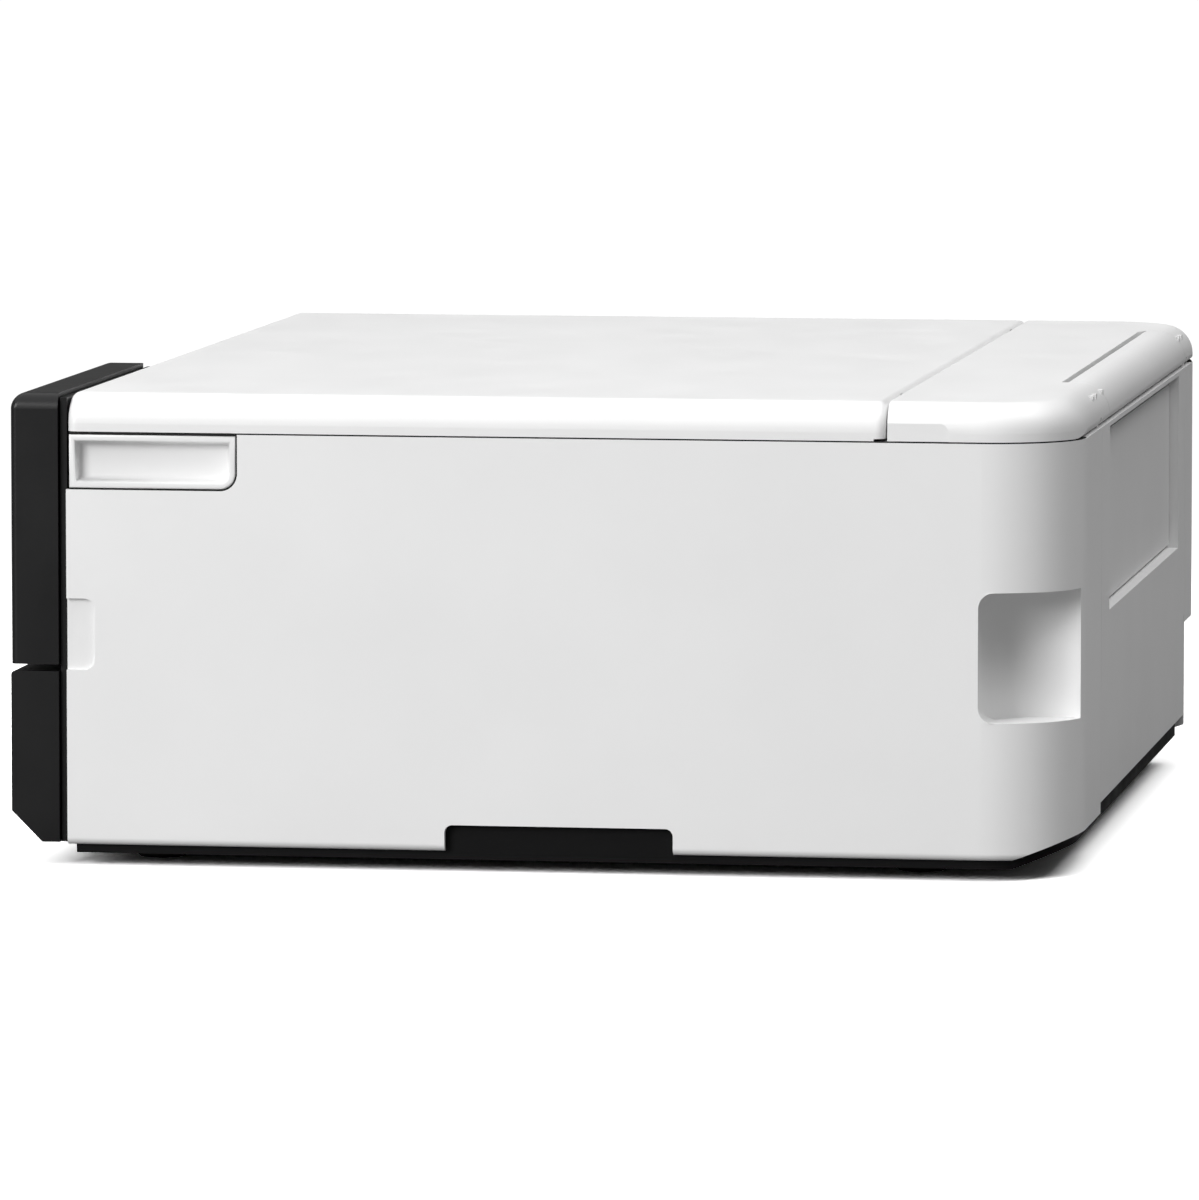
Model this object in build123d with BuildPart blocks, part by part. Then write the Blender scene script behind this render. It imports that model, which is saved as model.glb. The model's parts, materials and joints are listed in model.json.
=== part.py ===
"""Inkjet multifunction printer: a flatbed scanner over a front loading printer.

Millimetres, +Z up. The origin is under the middle of the machine, on the table.
The black front faces -Y, the right side faces +X, and the rear faces +Y.
"""

from math import asin, atan2, cos, degrees, pi, radians, sin, sqrt, tan

from build123d import *
import os

os.makedirs("parts", exist_ok=True)

# Overall size of the machine
width = 400.0
depth = 341.0
height = 151.0
half_width = width / 2
front_y = -depth / 2
rear_y = depth / 2
front_thickness = 15.5
front_back_y = front_y + front_thickness

# The inner parts keep their share of the machine: each of these is 1 at the sizes above
across = width / 400.0
along = depth / 341.0
upward = (height - 39.0) / 112.0

# Clearances
seat_gap = 0.3
slide_gap = 0.4
pin_gap = 0.05
door_gap = 0.5

# White casing: the walls round the sides and the two rear corners
casing_wall = 2.5
casing_front_y = front_back_y + 2.6
casing_bottom_z = 6.8
casing_top_z = height - 12.6
casing_corner_r = 30.0
casing_bottom_fillet = 2.2
rear_rise_y = rear_y - 20.5
rear_rise_z = 14.0 * upward
right_seam_x = 125.5 * across
left_seam_x = -146.0 * across
seam_gap = 0.3
inner_x = half_width - casing_wall
inner_rear_y = rear_y - casing_wall

# Cut-outs in the casing sides
base_cut_front_y = -30.5 * along
base_cut_rear_y = 42.7 * along
base_cut_top_z = 15.2 * upward
base_cut_r = 2.5
notch_depth = 1.4
notch_rear_y = front_back_y + 11.8
notch_low_z = 62.8 * upward
notch_high_z = 85.6 * upward
notch_r = 3.5

# Hand grips scooped into the rear corners
grip_front_y = rear_y - 31.0
grip_rear_x = half_width - 22.0
grip_low_z = 50.3 * upward
left_grip_low_z = 52.4 * upward
grip_high_z = 91.5 * upward
grip_scoop_x = half_width - 20.0
grip_scoop_y = rear_y - 21.5
grip_wall = 2.5
grip_back = 6.0

# Power inlet pocket in the lower left rear corner
inlet_pocket_x = -147.0 * across
inlet_pocket_y = rear_y - 20.5
inlet_pocket_top_z = 49.6 * upward

# Power inlet
inlet_x = -half_width + 28.0
inlet_z = 29.0 * upward
inlet_size = (24.0, 16.0)
inlet_lip = 1.5

# Base pan and feet
base_low_z = 4.0
base_floor = 2.5
base_top_z = base_low_z + base_floor
base_rim = 2.0
base_rim_z = 24.0 * upward
base_front_y = front_back_y + 5.0
foot_r = 8.0
foot_x = half_width - 32.0
foot_front_y = front_back_y + 27.0
foot_rear_y = rear_y - 52.5

# Lid, rear cover and their hinge lines
lid_bottom_z = height - 12.1
lid_front_y = front_back_y + 3.0
lid_rear_y = rear_y - 60.7
lid_side_fillet = 9.5
lid_front_fillet = 4.0
lid_wall = 2.5
backing_thickness = 2.5
backing_rib_step = (90.0 * across, 60.0 * along)
lid_hinge_r = 2.8
lid_hinge_y = lid_rear_y - lid_hinge_r
lid_hinge_z = height - lid_hinge_r
lid_post_x = 152.0 * across
lid_post_width = 4.0
lid_eye_r = 1.8
lid_eye_gap = 0.3
lid_pin_r = 1.0
rear_cover_front_y = rear_y - 59.9
relief_rear_y = rear_y - 40.5
relief_top_z = height - 6.4
relief_depth = 0.5
scanner_hinge_r = height - lid_bottom_z - lid_side_fillet
scanner_hinge_y = rear_y - scanner_hinge_r
scanner_hinge_z = lid_bottom_z + scanner_hinge_r
bracket_width = 4.0
bracket_eye_r = 1.7
bracket_stem = 2.8
bracket_low_z = 100.0 * upward
bracket_depth = 8.0
scanner_pin_r = 1.0
ear_width = 3.0

# Manual feed cover at the rear edge of the top
feed_cover_right_x = 103.4 * across
feed_cover_left_x = -143.8 * across
feed_cover_front_y = rear_y - 13.3
feed_slit = 2.3
feed_slit_left_x = -135.6 * across
feed_cover_wall = 2.2
feed_cover_pin = 2.0
bracket_x = (
    129.0 * across,
    feed_cover_left_x - seat_gap - ear_width - bracket_width / 2 - slide_gap,
)

# Scanner unit
housing_x = half_width - 8.0
housing_front_y = front_back_y + 5.0
housing_rear_y = rear_y - 62.5
housing_low_z = height - 39.0
housing_wall = 3.0
housing_floor = 2.4
frame_low_z = height - 15.4
frame_top_z = height - 12.4
frame_x = half_width - 2.8
frame_front_y = front_back_y + 3.2
frame_rear_y = rear_y - 53.5
glass_x = 155.0 * across
glass_front_y = front_back_y + 35.0
glass_rear_y = rear_y - 67.5
glass_thickness = 2.0
glass_ledge = 4.0
glass_sink = 0.2
scan_rod_r = 3.0
scan_rod_y = -10.0 * along
scan_rod_z = height - 31.0
scan_bush_r = 5.0
scan_bar_width = 16.0
scan_bar_low_z = height - 27.0
scan_bar_top_z = height - 15.8
scan_rest_x = -half_width + 34.0
scan_travel = 300.0

# Side grips of the scanner unit
grip_tab_front_y = front_back_y + 3.6
grip_tab_rear_y = -97.6 * along
grip_tab_low_z = height - 30.0
grip_tab_top_z = height - 13.7
grip_tab_gap = 0.6
grip_tab_r = 5.0
grip_tab_pocket_depth = 5.0
pocket_front_y = front_back_y + 7.0
pocket_rear_y = front_back_y + 53.6
pocket_low_z = height - 27.7
pocket_top_z = height - 15.9

# Black front
bezel_front_y = front_back_y + 0.4
bezel_x = half_width - 2.0
bezel_rim_depth = 6.0
bezel_rim_wall = 2.0
front_split_low_z = 62.2 * upward
front_split_high_z = 64.4 * upward
tray_front_low_z = 7.5
tray_front_chamfer = 9.9
tray_front_wall = 3.0
top_round = 5.0
ink_cover_left_x = 58.5 * across
ink_cover_wall = 2.0
ink_hinge_inset = 4.5
ink_hinge_x = ink_cover_left_x + ink_hinge_inset
ink_cover_rib_x = (95.0 * across, 130.0 * across, 165.0 * across)
ink_hinge_y = front_y + ink_hinge_inset
ink_pin_r = 1.2
ink_eye_r = 2.2
ink_arm_height = 6.0
ink_arm_half = 1.8
ink_cover_edge_r = 2.0
ink_arm_z = (73.0 * upward, height - 15.0)
left_wall_back_y = front_y + 14.5
cheek_x = (53.5 * across, 57.5 * across)
cheek_low_z = 99.0 * upward
cheek_top_z = height - 12.4
bezel_crest_z = height - 1.5
output_opening_x = (-137.0 * across, 50.0 * across)
output_opening_z = (62.2 * upward, 98.0 * upward)
bay_opening_x = (-137.5 * across, 105.5 * across)
bay_opening_z = 50.5 * upward
ink_opening_x = (66.0 * across, half_width - 8.0)
ink_opening_z = (67.0 * upward, height - 19.0)

# Control panel
panel_left_x = -half_width + 5.5
panel_right_x = 53.0 * across
panel_low_z = 101.0 * upward
panel_top_z = height - 13.5
panel_bottom_y = front_y + 0.5
panel_slope_y = 6.5
panel_hinge_y = front_y + 11.0
panel_hinge_z = height - 18.0
panel_hinge_r = 4.5
panel_back_y = front_y + 14.0
panel_pin_r = 2.0
panel_pin_length = 3.2
panel_wall = 2.0
button_r = 6.0
button_flange = 1.2
button_proud = 1.0
button_travel = 0.8
button_x = {
    "power_button": -half_width + 22.0,
    "home_button": -36.0 * across,
    "stop_button": -8.0 * across,
    "start_button": 22.0 * across,
}
display_x = (-128.0 * across, -62.0 * across)
display_height = 27.0
display_thickness = 1.2

# Paper tray
tray_x = (-134.0 * across, 102.0 * across)
tray_rear_y = rear_y - 20.5
tray_low_z = 8.0
tray_floor = 2.5
tray_wall = 2.5
tray_top_z = 45.0 * upward
tray_rear_top_z = 18.0 * upward
paper_centre_x = (tray_x[0] + tray_x[1]) / 2
guide_thickness = 3.0
guide_rest_gap = 7.5
paper_width = tray_x[1] - tray_x[0] - 2 * (tray_wall + guide_thickness + guide_rest_gap)
guide_height = 26.0
guide_length = 90.0
guide_centre_y = -10.0 * along
guide_lift = 0.3
guide_travel = 45.0
rack_thickness = 3.0
rack_width = 5.0
guide_foot = 8.0
rack_past_centre = 8.0
rack_rib_half = paper_width / 5
pinion_post_r = 2.0
length_guide_width = 48.0
length_guide_height = 19.0
length_guide_foot = 24.0
length_guide_travel = 90.0
tray_travel = 250.0

# Gear teeth, all of one module
module = 1.0
tooth_addendum = 0.8 * module
tooth_root = 1.1 * module
tooth_pitch = pi * module
tooth_width = 0.4 * tooth_pitch
tooth_angle = 20.0

# Chassis over the tray
chassis_wall = 2.0
deck_low_z = 48.0 * upward
deck_thickness = 2.5
deck_top_z = deck_low_z + deck_thickness
chassis_x = (tray_x[0] - 3.0, tray_x[1] + 3.0)
chassis_front_y = front_back_y + 5.4
chassis_rear_y = rear_rise_y
roller_plate_top_z = 72.6 * upward
roller_plate_y = (-30.0 * along, 60.0 * along)

# Rollers and their gear train
idler_y = 12.0 * along
roller_z = 67.0 * upward
feed_roller_r = 5.0
exit_roller_r = 5.0
roller_shaft_r = 3.0
gear_face = 5.0
feed_teeth = 30
idler_teeth = 34
exit_teeth = 30
feed_roller_y = idler_y + (feed_teeth + idler_teeth) * module / 2
exit_roller_y = idler_y - (exit_teeth + idler_teeth) * module / 2
pinion_teeth = 12
gear_x = chassis_x[0] - chassis_wall - 5.6

# Feed motor
motor_plate_x = gear_x - 3.4
motor_plate_y = (50.0 * along, 80.0 * along)
motor_y = feed_roller_y + (feed_teeth + pinion_teeth) * module / 2
motor_z = roller_z
motor_r = 12.0
motor_length = 27.0
motor_shaft_r = 1.5

# Pickup arm over the paper
pickup_opening_x = (-38.0 * across, 6.0 * across)
pickup_opening_y = (58.0 * along, rear_y - 42.5)
pickup_pivot_y = 66.0 * along
pickup_pivot_z = 56.0 * upward
pickup_pin_r = 2.0
pickup_roller_x = -16.0 * across
pickup_roller_y = rear_y - 58.5
pickup_roller_z = 33.5 * upward
pickup_roller_r = 11.0
pickup_roller_width = 16.0
lug_thickness = 2.5

# Inner paper guide
guide_span_x = (-126.0 * across, 94.0 * across)
guide_turn_y = rear_y - 22.5
guide_turn_z = 58.0 * upward
guide_turn_r = 26.0

# Carriage frame, rail and drive
head_y = (-10.0 * along, 34.0 * along)
plate_front_y = -50.0 * along
plate_low_z = 60.0 * upward
plate_top_z = 109.0 * upward
leg_front_y = 0.0
leg_rear_y = 60.0 * along
beam_y = 63.0 * along
tab_front_y = 48.6 * along
tab_low_z = 85.5 * upward
rail_y = (-46.0 * along, -38.0 * along)
rail_top_z = 99.5 * upward
pulley_x = half_width - 30.0
pulley_y = 56.0 * along
pulley_z = (91.0 * upward, 99.0 * upward)
pulley_r = 5.0
pulley_flange_r = 6.2
belt_inner_r = 5.1
belt_thickness = 1.0
belt_z = (92.3 * upward, 97.7 * upward)
carriage_motor_r = 11.0
carriage_motor_height = 25.0
motor_boss_r = 3.5

# Cartridges and their holder
cartridge_first_x = 73.5 * across
cartridge_widths = (34.0, 21.0, 21.0, 21.0)
cartridge_partition = 2.5
cartridge_y = (front_back_y + 12.0, -71.0 * along)
holder_y = (front_back_y + 9.0, -60.0 * along)
holder_z = (66.0 * upward, 110.0 * upward)

# Boxes in the base
station_x = (112.0 * across, 164.0 * across)
station_y = (-14.0 * along, 38.0 * along)
station_top_z = 72.5 * upward
waste_x = (112.0 * across, half_width - 30.0)
waste_y = (62.0 * along, rear_y - 30.5)
waste_top_z = 46.0 * upward
supply_x = (-half_width + 8.0, -148.0 * across)
supply_y = (70.0 * along, rear_y - 30.5)
supply_top_z = 46.0 * upward
inlet_depth = 6.0
board_standoff = 3.0
board_y = (front_back_y + 15.0, 50.0 * along)
board_z = (30.0 * upward, 104.0 * upward)
# Each component's ends along and up the board, then how far it stands out
board_parts = (
    ((-60.0 * along, -30.0 * along), (60.0 * upward, 90.0 * upward), 3.0),
    ((-10.0 * along, 10.0 * along), (70.0 * upward, 84.0 * upward), 1.5),
    ((20.0 * along, 40.0 * along), (36.0 * upward, 56.0 * upward), 5.0),
    ((-110.0 * along, -90.0 * along), (92.0 * upward, 100.0 * upward), 5.0),
    ((-120.0 * along, -80.0 * along), (38.0 * upward, 46.0 * upward), 4.0),
)

# Finger recess under the tray front
finger_recess = 90.0

# Output tray
output_tray_x = (-136.0 * across, 62.0 * across)
output_tray_rear_y = -32.0 * along

# Print carriage
platen_x = (-130.0 * across, 98.0 * across)
platen_top_z = 72.0 * upward
platen_y = (-12.0 * along, 36.0 * along)
platen_rib_step = 21.0 * across
carriage_width = 60.0
carriage_y = (-34.0 * along, 48.0 * along)
carriage_low_z = 86.0 * upward
carriage_top_z = 108.0 * upward
head_width = 36.0
head_low_z = 74.0 * upward
carriage_rest_x = 138.0 * across
carriage_travel = 256.0
shaft_r = 5.0
shaft_y = 34.0 * along
shaft_z = 95.0 * upward
side_plate_x = half_width - 16.0
sheet = 1.5

# Output tray and paper support
output_deck_z = 62.2 * upward
support_low_z = 62.5 * upward
support_thickness = 2.0
support_x = (-60.0 * across, 30.0 * across)
support_travel = 110.0
support_slot = 60.0

# Jam clearing cover in the rear
jam_x = (-123.6 * across, 101.3 * across)
jam_low_z = 78.0 * upward
jam_top_z = height - 17.0
jam_face_y = rear_y - 3.3
jam_wall = 2.5
jam_hinge_y = rear_y - 5.1
jam_hinge_z = 80.2 * upward
jam_pin_r = 1.5
recess_x = (-124.0 * across, 101.7 * across)
recess_low_z = 77.5 * upward
recess_top_z = height - 14.0
recess_back_y = rear_y - 7.5
recess_wall = 2.0
rear_panel_low_z = 17.5 * upward


def save(piece, name):
    """Label a finished piece and write it as its own file."""
    piece.part.label = name
    export_step(piece.part, f"parts/{name}.step")


def span_rectangle(across, up):
    """Rectangle between two limits on each of the sketch's axes."""
    with Locations(((across[0] + across[1]) / 2, (up[0] + up[1]) / 2)):
        Rectangle(across[1] - across[0], up[1] - up[0])


def span_box(x, y, z, mode=Mode.ADD):
    """Block between two limits along X, Y and Z."""
    centre = tuple((low + high) / 2 for low, high in (x, y, z))
    with Locations(centre):
        Box(x[1] - x[0], y[1] - y[0], z[1] - z[0], mode=mode)


def round_bar(x, y, z, radius, mode=Mode.ADD):
    """Round bar along X between two limits, at a place in Y and Z."""
    with Locations(Location(((x[0] + x[1]) / 2, y, z), (0, 90, 0))):
        Cylinder(radius, x[1] - x[0], mode=mode)


def gear_teeth(teeth, start):
    """Disc with straight flanked teeth, the first one at the start angle."""
    root = teeth * module / 2 - tooth_root
    tip = tooth_root + tooth_addendum
    lean = tan(radians(tooth_angle))
    foot_half = tooth_width / 2 + tooth_root * lean
    tip_half = tooth_width / 2 - tooth_addendum * lean
    Circle(root)
    with PolarLocations(root, teeth, start_angle=start):
        Polygon((-0.4, -foot_half), (tip, -tip_half), (tip, tip_half), (-0.4, foot_half), align=None)


def rear_rise(low_z):
    """Slope that lifts the underside towards the rear, as a profile in Y and Z."""
    rise = (rear_rise_z - casing_bottom_z) / (rear_y - rear_rise_y)
    end_y = rear_y + 1.0
    end_z = low_z + rise * (end_y - rear_rise_y)
    Polygon((rear_rise_y, low_z), (end_y, end_z), (end_y, low_z - 3.0), (rear_rise_y, low_z - 3.0), align=None)


# Feet, one round pad near each corner
with BuildPart() as feet:
    for foot_y in (foot_front_y, foot_rear_y):
        with Locations((-foot_x, foot_y, base_low_z / 2), (foot_x, foot_y, base_low_z / 2)):
            Cylinder(foot_r, base_low_z)
    chamfer(feet.edges().group_by(Axis.Z)[0], 0.8)
save(feet, "rubber_feet")

# Base pan: a black tray with a rim, carried on the feet
base_x = inner_x - seat_gap
base_rear_y = inner_rear_y - seat_gap
base_corner_r = casing_corner_r - casing_wall - seat_gap
with BuildPart() as base_cavity:
    with BuildSketch(Plane.XY.offset(base_top_z)) as pan_inside:
        span_rectangle((-base_x + base_rim, base_x - base_rim), (base_front_y - 1.0, base_rear_y - base_rim))
        fillet(pan_inside.vertices().group_by(Axis.Y)[-1], base_corner_r - base_rim)
    extrude(amount=base_rim_z)
    with BuildSketch(Plane.YZ.offset(-half_width)):
        rear_rise(base_top_z)
    extrude(amount=width, mode=Mode.SUBTRACT)
with BuildPart() as base_pan:
    with BuildSketch(Plane.XY.offset(base_low_z)) as pan_outside:
        span_rectangle((-base_x, base_x), (base_front_y, base_rear_y))
        fillet(pan_outside.vertices().group_by(Axis.Y)[-1], base_corner_r)
    extrude(amount=base_rim_z - base_low_z)
    with BuildSketch(Plane.YZ.offset(-half_width)):
        rear_rise(base_low_z)
    extrude(amount=width, mode=Mode.SUBTRACT)
    add(base_cavity.part, mode=Mode.SUBTRACT)
    span_box(
        (-half_width, inlet_pocket_x + grip_wall + seat_gap),
        (inlet_pocket_y - grip_wall - seat_gap, rear_y),
        (0.0, base_rim_z + 1.0),
        mode=Mode.SUBTRACT,
    )
    # Runners under the paper tray
    for runner_x in (tray_x[0] + 12.0, tray_x[1] - 12.0):
        span_box(
            (runner_x - 3.0, runner_x + 3.0),
            (base_front_y, tray_rear_y),
            (base_top_z, tray_low_z - seat_gap),
        )
save(base_pan, "base_pan")

# White casing, one shell for each side, wrapped round its rear corner
for side, name in ((1, "casing_right"), (-1, "casing_left")):
    right = side > 0
    pocket_low_edge = grip_low_z if right else left_grip_low_z
    with BuildPart() as cavity:
        with BuildSketch(Plane.XY.offset(casing_bottom_z - 1.0)) as casing_inside:
            span_rectangle((-inner_x, inner_x), (casing_front_y - 1.0, inner_rear_y))
            fillet(casing_inside.vertices().group_by(Axis.Y)[-1], casing_corner_r - casing_wall)
        extrude(amount=casing_top_z - casing_bottom_z + 2.0)
        # Material left behind the hand grip
        with BuildSketch(Plane.XY.offset(pocket_low_edge - grip_wall)):
            Polygon(
                (side * (half_width + 1.0), grip_front_y - 3.0),
                (side * (grip_scoop_x - grip_back), grip_scoop_y - grip_back),
                (side * (grip_rear_x - grip_back), rear_y + 1.0),
                (side * (half_width + 1.0), rear_y + 1.0),
                align=None,
            )
        extrude(amount=grip_high_z - pocket_low_edge + 2 * grip_wall, mode=Mode.SUBTRACT)
        if not right:
            span_box(
                (-half_width, inlet_pocket_x + grip_wall),
                (inlet_pocket_y - grip_wall, rear_y),
                (0.0, inlet_pocket_top_z + grip_wall),
                mode=Mode.SUBTRACT,
            )
    with BuildPart() as casing:
        with BuildSketch(Plane.XY.offset(casing_bottom_z)) as casing_outside:
            span_rectangle((-half_width, half_width), (casing_front_y, rear_y))
            fillet(casing_outside.vertices().group_by(Axis.Y)[-1], casing_corner_r)
        extrude(amount=casing_top_z - casing_bottom_z)
        bottom_edges = casing.edges().group_by(Axis.Z)[0]
        fillet(bottom_edges - bottom_edges.group_by(Axis.Y)[0], casing_bottom_fillet)
        add(cavity.part, mode=Mode.SUBTRACT)
        if right:
            span_box(
                (-half_width - 1.0, right_seam_x + seam_gap / 2),
                (-depth, depth),
                (0.0, height),
                mode=Mode.SUBTRACT,
            )
        else:
            span_box(
                (left_seam_x - seam_gap / 2, half_width + 1.0),
                (-depth, depth),
                (inlet_pocket_top_z, height),
                mode=Mode.SUBTRACT,
            )
            span_box(
                (inlet_pocket_x + grip_wall, half_width + 1.0),
                (-depth, depth),
                (0.0, height),
                mode=Mode.SUBTRACT,
            )
            span_box(
                (-half_width - 1.0, inlet_pocket_x),
                (inlet_pocket_y, depth),
                (0.0, inlet_pocket_top_z),
                mode=Mode.SUBTRACT,
            )
        # Underside rises at the rear
        with BuildSketch(Plane.YZ.offset(-half_width - 1.0)):
            rear_rise(casing_bottom_z)
        extrude(amount=width + 2.0, mode=Mode.SUBTRACT)
        # Hand grip scooped out of the corner
        with BuildSketch(Plane.XY.offset(pocket_low_edge)):
            with BuildLine():
                ThreePointArc(
                    (side * half_width, grip_front_y),
                    (side * grip_scoop_x, grip_scoop_y),
                    (side * grip_rear_x, rear_y),
                )
                Polyline(
                    (side * grip_rear_x, rear_y),
                    (side * grip_rear_x, rear_y + 1.0),
                    (side * (half_width + 1.0), rear_y + 1.0),
                    (side * (half_width + 1.0), grip_front_y),
                    (side * half_width, grip_front_y),
                )
            make_face()
        extrude(amount=grip_high_z - pocket_low_edge, mode=Mode.SUBTRACT)
        # Gap for the scanner unit's side grip
        with BuildSketch(Plane.YZ.offset(side * (half_width + 1.0))) as tab_gap:
            span_rectangle(
                (casing_front_y - 1.0, grip_tab_rear_y + grip_tab_gap),
                (grip_tab_low_z - grip_tab_gap, casing_top_z + 1.0),
            )
            tab_corner = tab_gap.vertices().group_by(Axis.X)[-1].sort_by(Axis.Y)[0]
            fillet(tab_corner, grip_tab_r + grip_tab_gap)
        extrude(amount=-side * (casing_wall + 2.0), mode=Mode.SUBTRACT)
        # Cut-out over the base
        with BuildSketch(Plane.YZ.offset(side * (half_width + 1.0))) as base_cut:
            span_rectangle((base_cut_front_y, base_cut_rear_y), (0.0, base_cut_top_z))
            fillet(base_cut.vertices().group_by(Axis.Y)[-1], base_cut_r)
        extrude(amount=-side * (casing_wall + 2.0), mode=Mode.SUBTRACT)
        if right:
            # Finger notch beside the ink cover
            with BuildSketch(Plane.YZ.offset(half_width)) as finger_notch:
                span_rectangle((casing_front_y - 1.0, notch_rear_y), (notch_low_z, notch_high_z))
                fillet(finger_notch.vertices().group_by(Axis.X)[-1], notch_r)
            extrude(amount=-notch_depth, mode=Mode.SUBTRACT)
        else:
            # Opening for the power inlet
            span_box(
                (inlet_x - inlet_size[0] / 2, inlet_x + inlet_size[0] / 2),
                (inlet_pocket_y - grip_wall - 1.0, inlet_pocket_y + 1.0),
                (inlet_z - inlet_size[1] / 2, inlet_z + inlet_size[1] / 2),
                mode=Mode.SUBTRACT,
            )
    save(casing, name)

# Rear panel with the recess for the jam clearing cover
with BuildPart() as rear_panel:
    with BuildSketch(Plane.XZ.offset(-rear_y)):
        span_rectangle(
            (left_seam_x + seam_gap / 2, right_seam_x - seam_gap / 2),
            (rear_panel_low_z, casing_top_z),
        )
    extrude(amount=casing_wall)
    with BuildSketch(Plane.XZ.offset(-inner_rear_y)):
        span_rectangle(
            (recess_x[0] - recess_wall, recess_x[1] + recess_wall),
            (recess_low_z - recess_wall, casing_top_z),
        )
    extrude(amount=inner_rear_y - recess_back_y)
    with BuildSketch(Plane.XZ.offset(-rear_y - 1.0)):
        span_rectangle(recess_x, (recess_low_z, recess_top_z))
    extrude(amount=rear_y - recess_back_y + 2.0, mode=Mode.SUBTRACT)
    round_bar(
        (recess_x[0] - recess_wall - 1.0, recess_x[1] + recess_wall + 1.0),
        jam_hinge_y,
        jam_hinge_z,
        jam_pin_r + pin_gap,
        mode=Mode.SUBTRACT,
    )
    # Slit over the inlet pocket's wall
    span_box(
        (-half_width, inlet_pocket_x + grip_wall + seam_gap),
        (inner_rear_y - 1.0, rear_y + 1.0),
        (0.0, inlet_pocket_top_z + grip_wall),
        mode=Mode.SUBTRACT,
    )
save(rear_panel, "rear_panel")

# Jam clearing cover, hinged along its lower edge
with BuildPart() as jam_cover:
    with BuildSketch(Plane.XZ.offset(-jam_face_y)):
        span_rectangle(jam_x, (jam_low_z, jam_top_z))
    extrude(amount=jam_wall)
    fillet(jam_cover.edges().filter_by(Axis.X).group_by(Axis.Z)[0], 1.2)
    # Paper guide ribs on the inside
    rib_count = 7
    rib_pitch = (jam_x[1] - jam_x[0] - 20.0) / (rib_count - 1)
    for rib in range(rib_count):
        rib_x = jam_x[0] + 10.0 + rib * rib_pitch
        with BuildSketch(Plane.YZ.offset(rib_x - 1.0)):
            Polygon(
                (jam_face_y - jam_wall + 0.1, jam_low_z + 8.0),
                (jam_face_y - jam_wall + 0.1, jam_top_z - 2.0),
                (jam_face_y - jam_wall - 4.5, jam_top_z - 8.0),
                (jam_face_y - jam_wall - 4.5, jam_low_z + 16.0),
                align=None,
            )
        extrude(amount=2.0)
    for inner_end, outer_end in ((jam_x[0] + 2.0, jam_x[0] - 2.0), (jam_x[1] - 2.0, jam_x[1] + 2.0)):
        ends = (min(inner_end, outer_end), max(inner_end, outer_end))
        round_bar(ends, jam_hinge_y, jam_hinge_z, jam_pin_r)
save(jam_cover, "jam_cover")

# Hinge brackets that carry the scanner unit from the casing's rear wall
with BuildPart() as brackets:
    for bracket_middle in bracket_x:
        with BuildSketch(Plane.YZ.offset(bracket_middle - bracket_width / 2)):
            Polygon(
                (scanner_hinge_y - bracket_stem / 2, scanner_hinge_z),
                (scanner_hinge_y + bracket_stem / 2, scanner_hinge_z),
                (scanner_hinge_y + bracket_stem / 2, casing_top_z + 0.3),
                (inner_rear_y, casing_top_z),
                (inner_rear_y, bracket_low_z),
                (inner_rear_y - bracket_depth, bracket_low_z + 4.0),
                (inner_rear_y - bracket_depth, casing_top_z - 6.0),
                (scanner_hinge_y - bracket_stem / 2 - 1.0, casing_top_z),
                align=None,
            )
            with Locations((scanner_hinge_y, scanner_hinge_z)):
                Circle(bracket_eye_r)
                Circle(scanner_pin_r + pin_gap, mode=Mode.SUBTRACT)
        extrude(amount=bracket_width)
save(brackets, "hinge_brackets")

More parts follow.
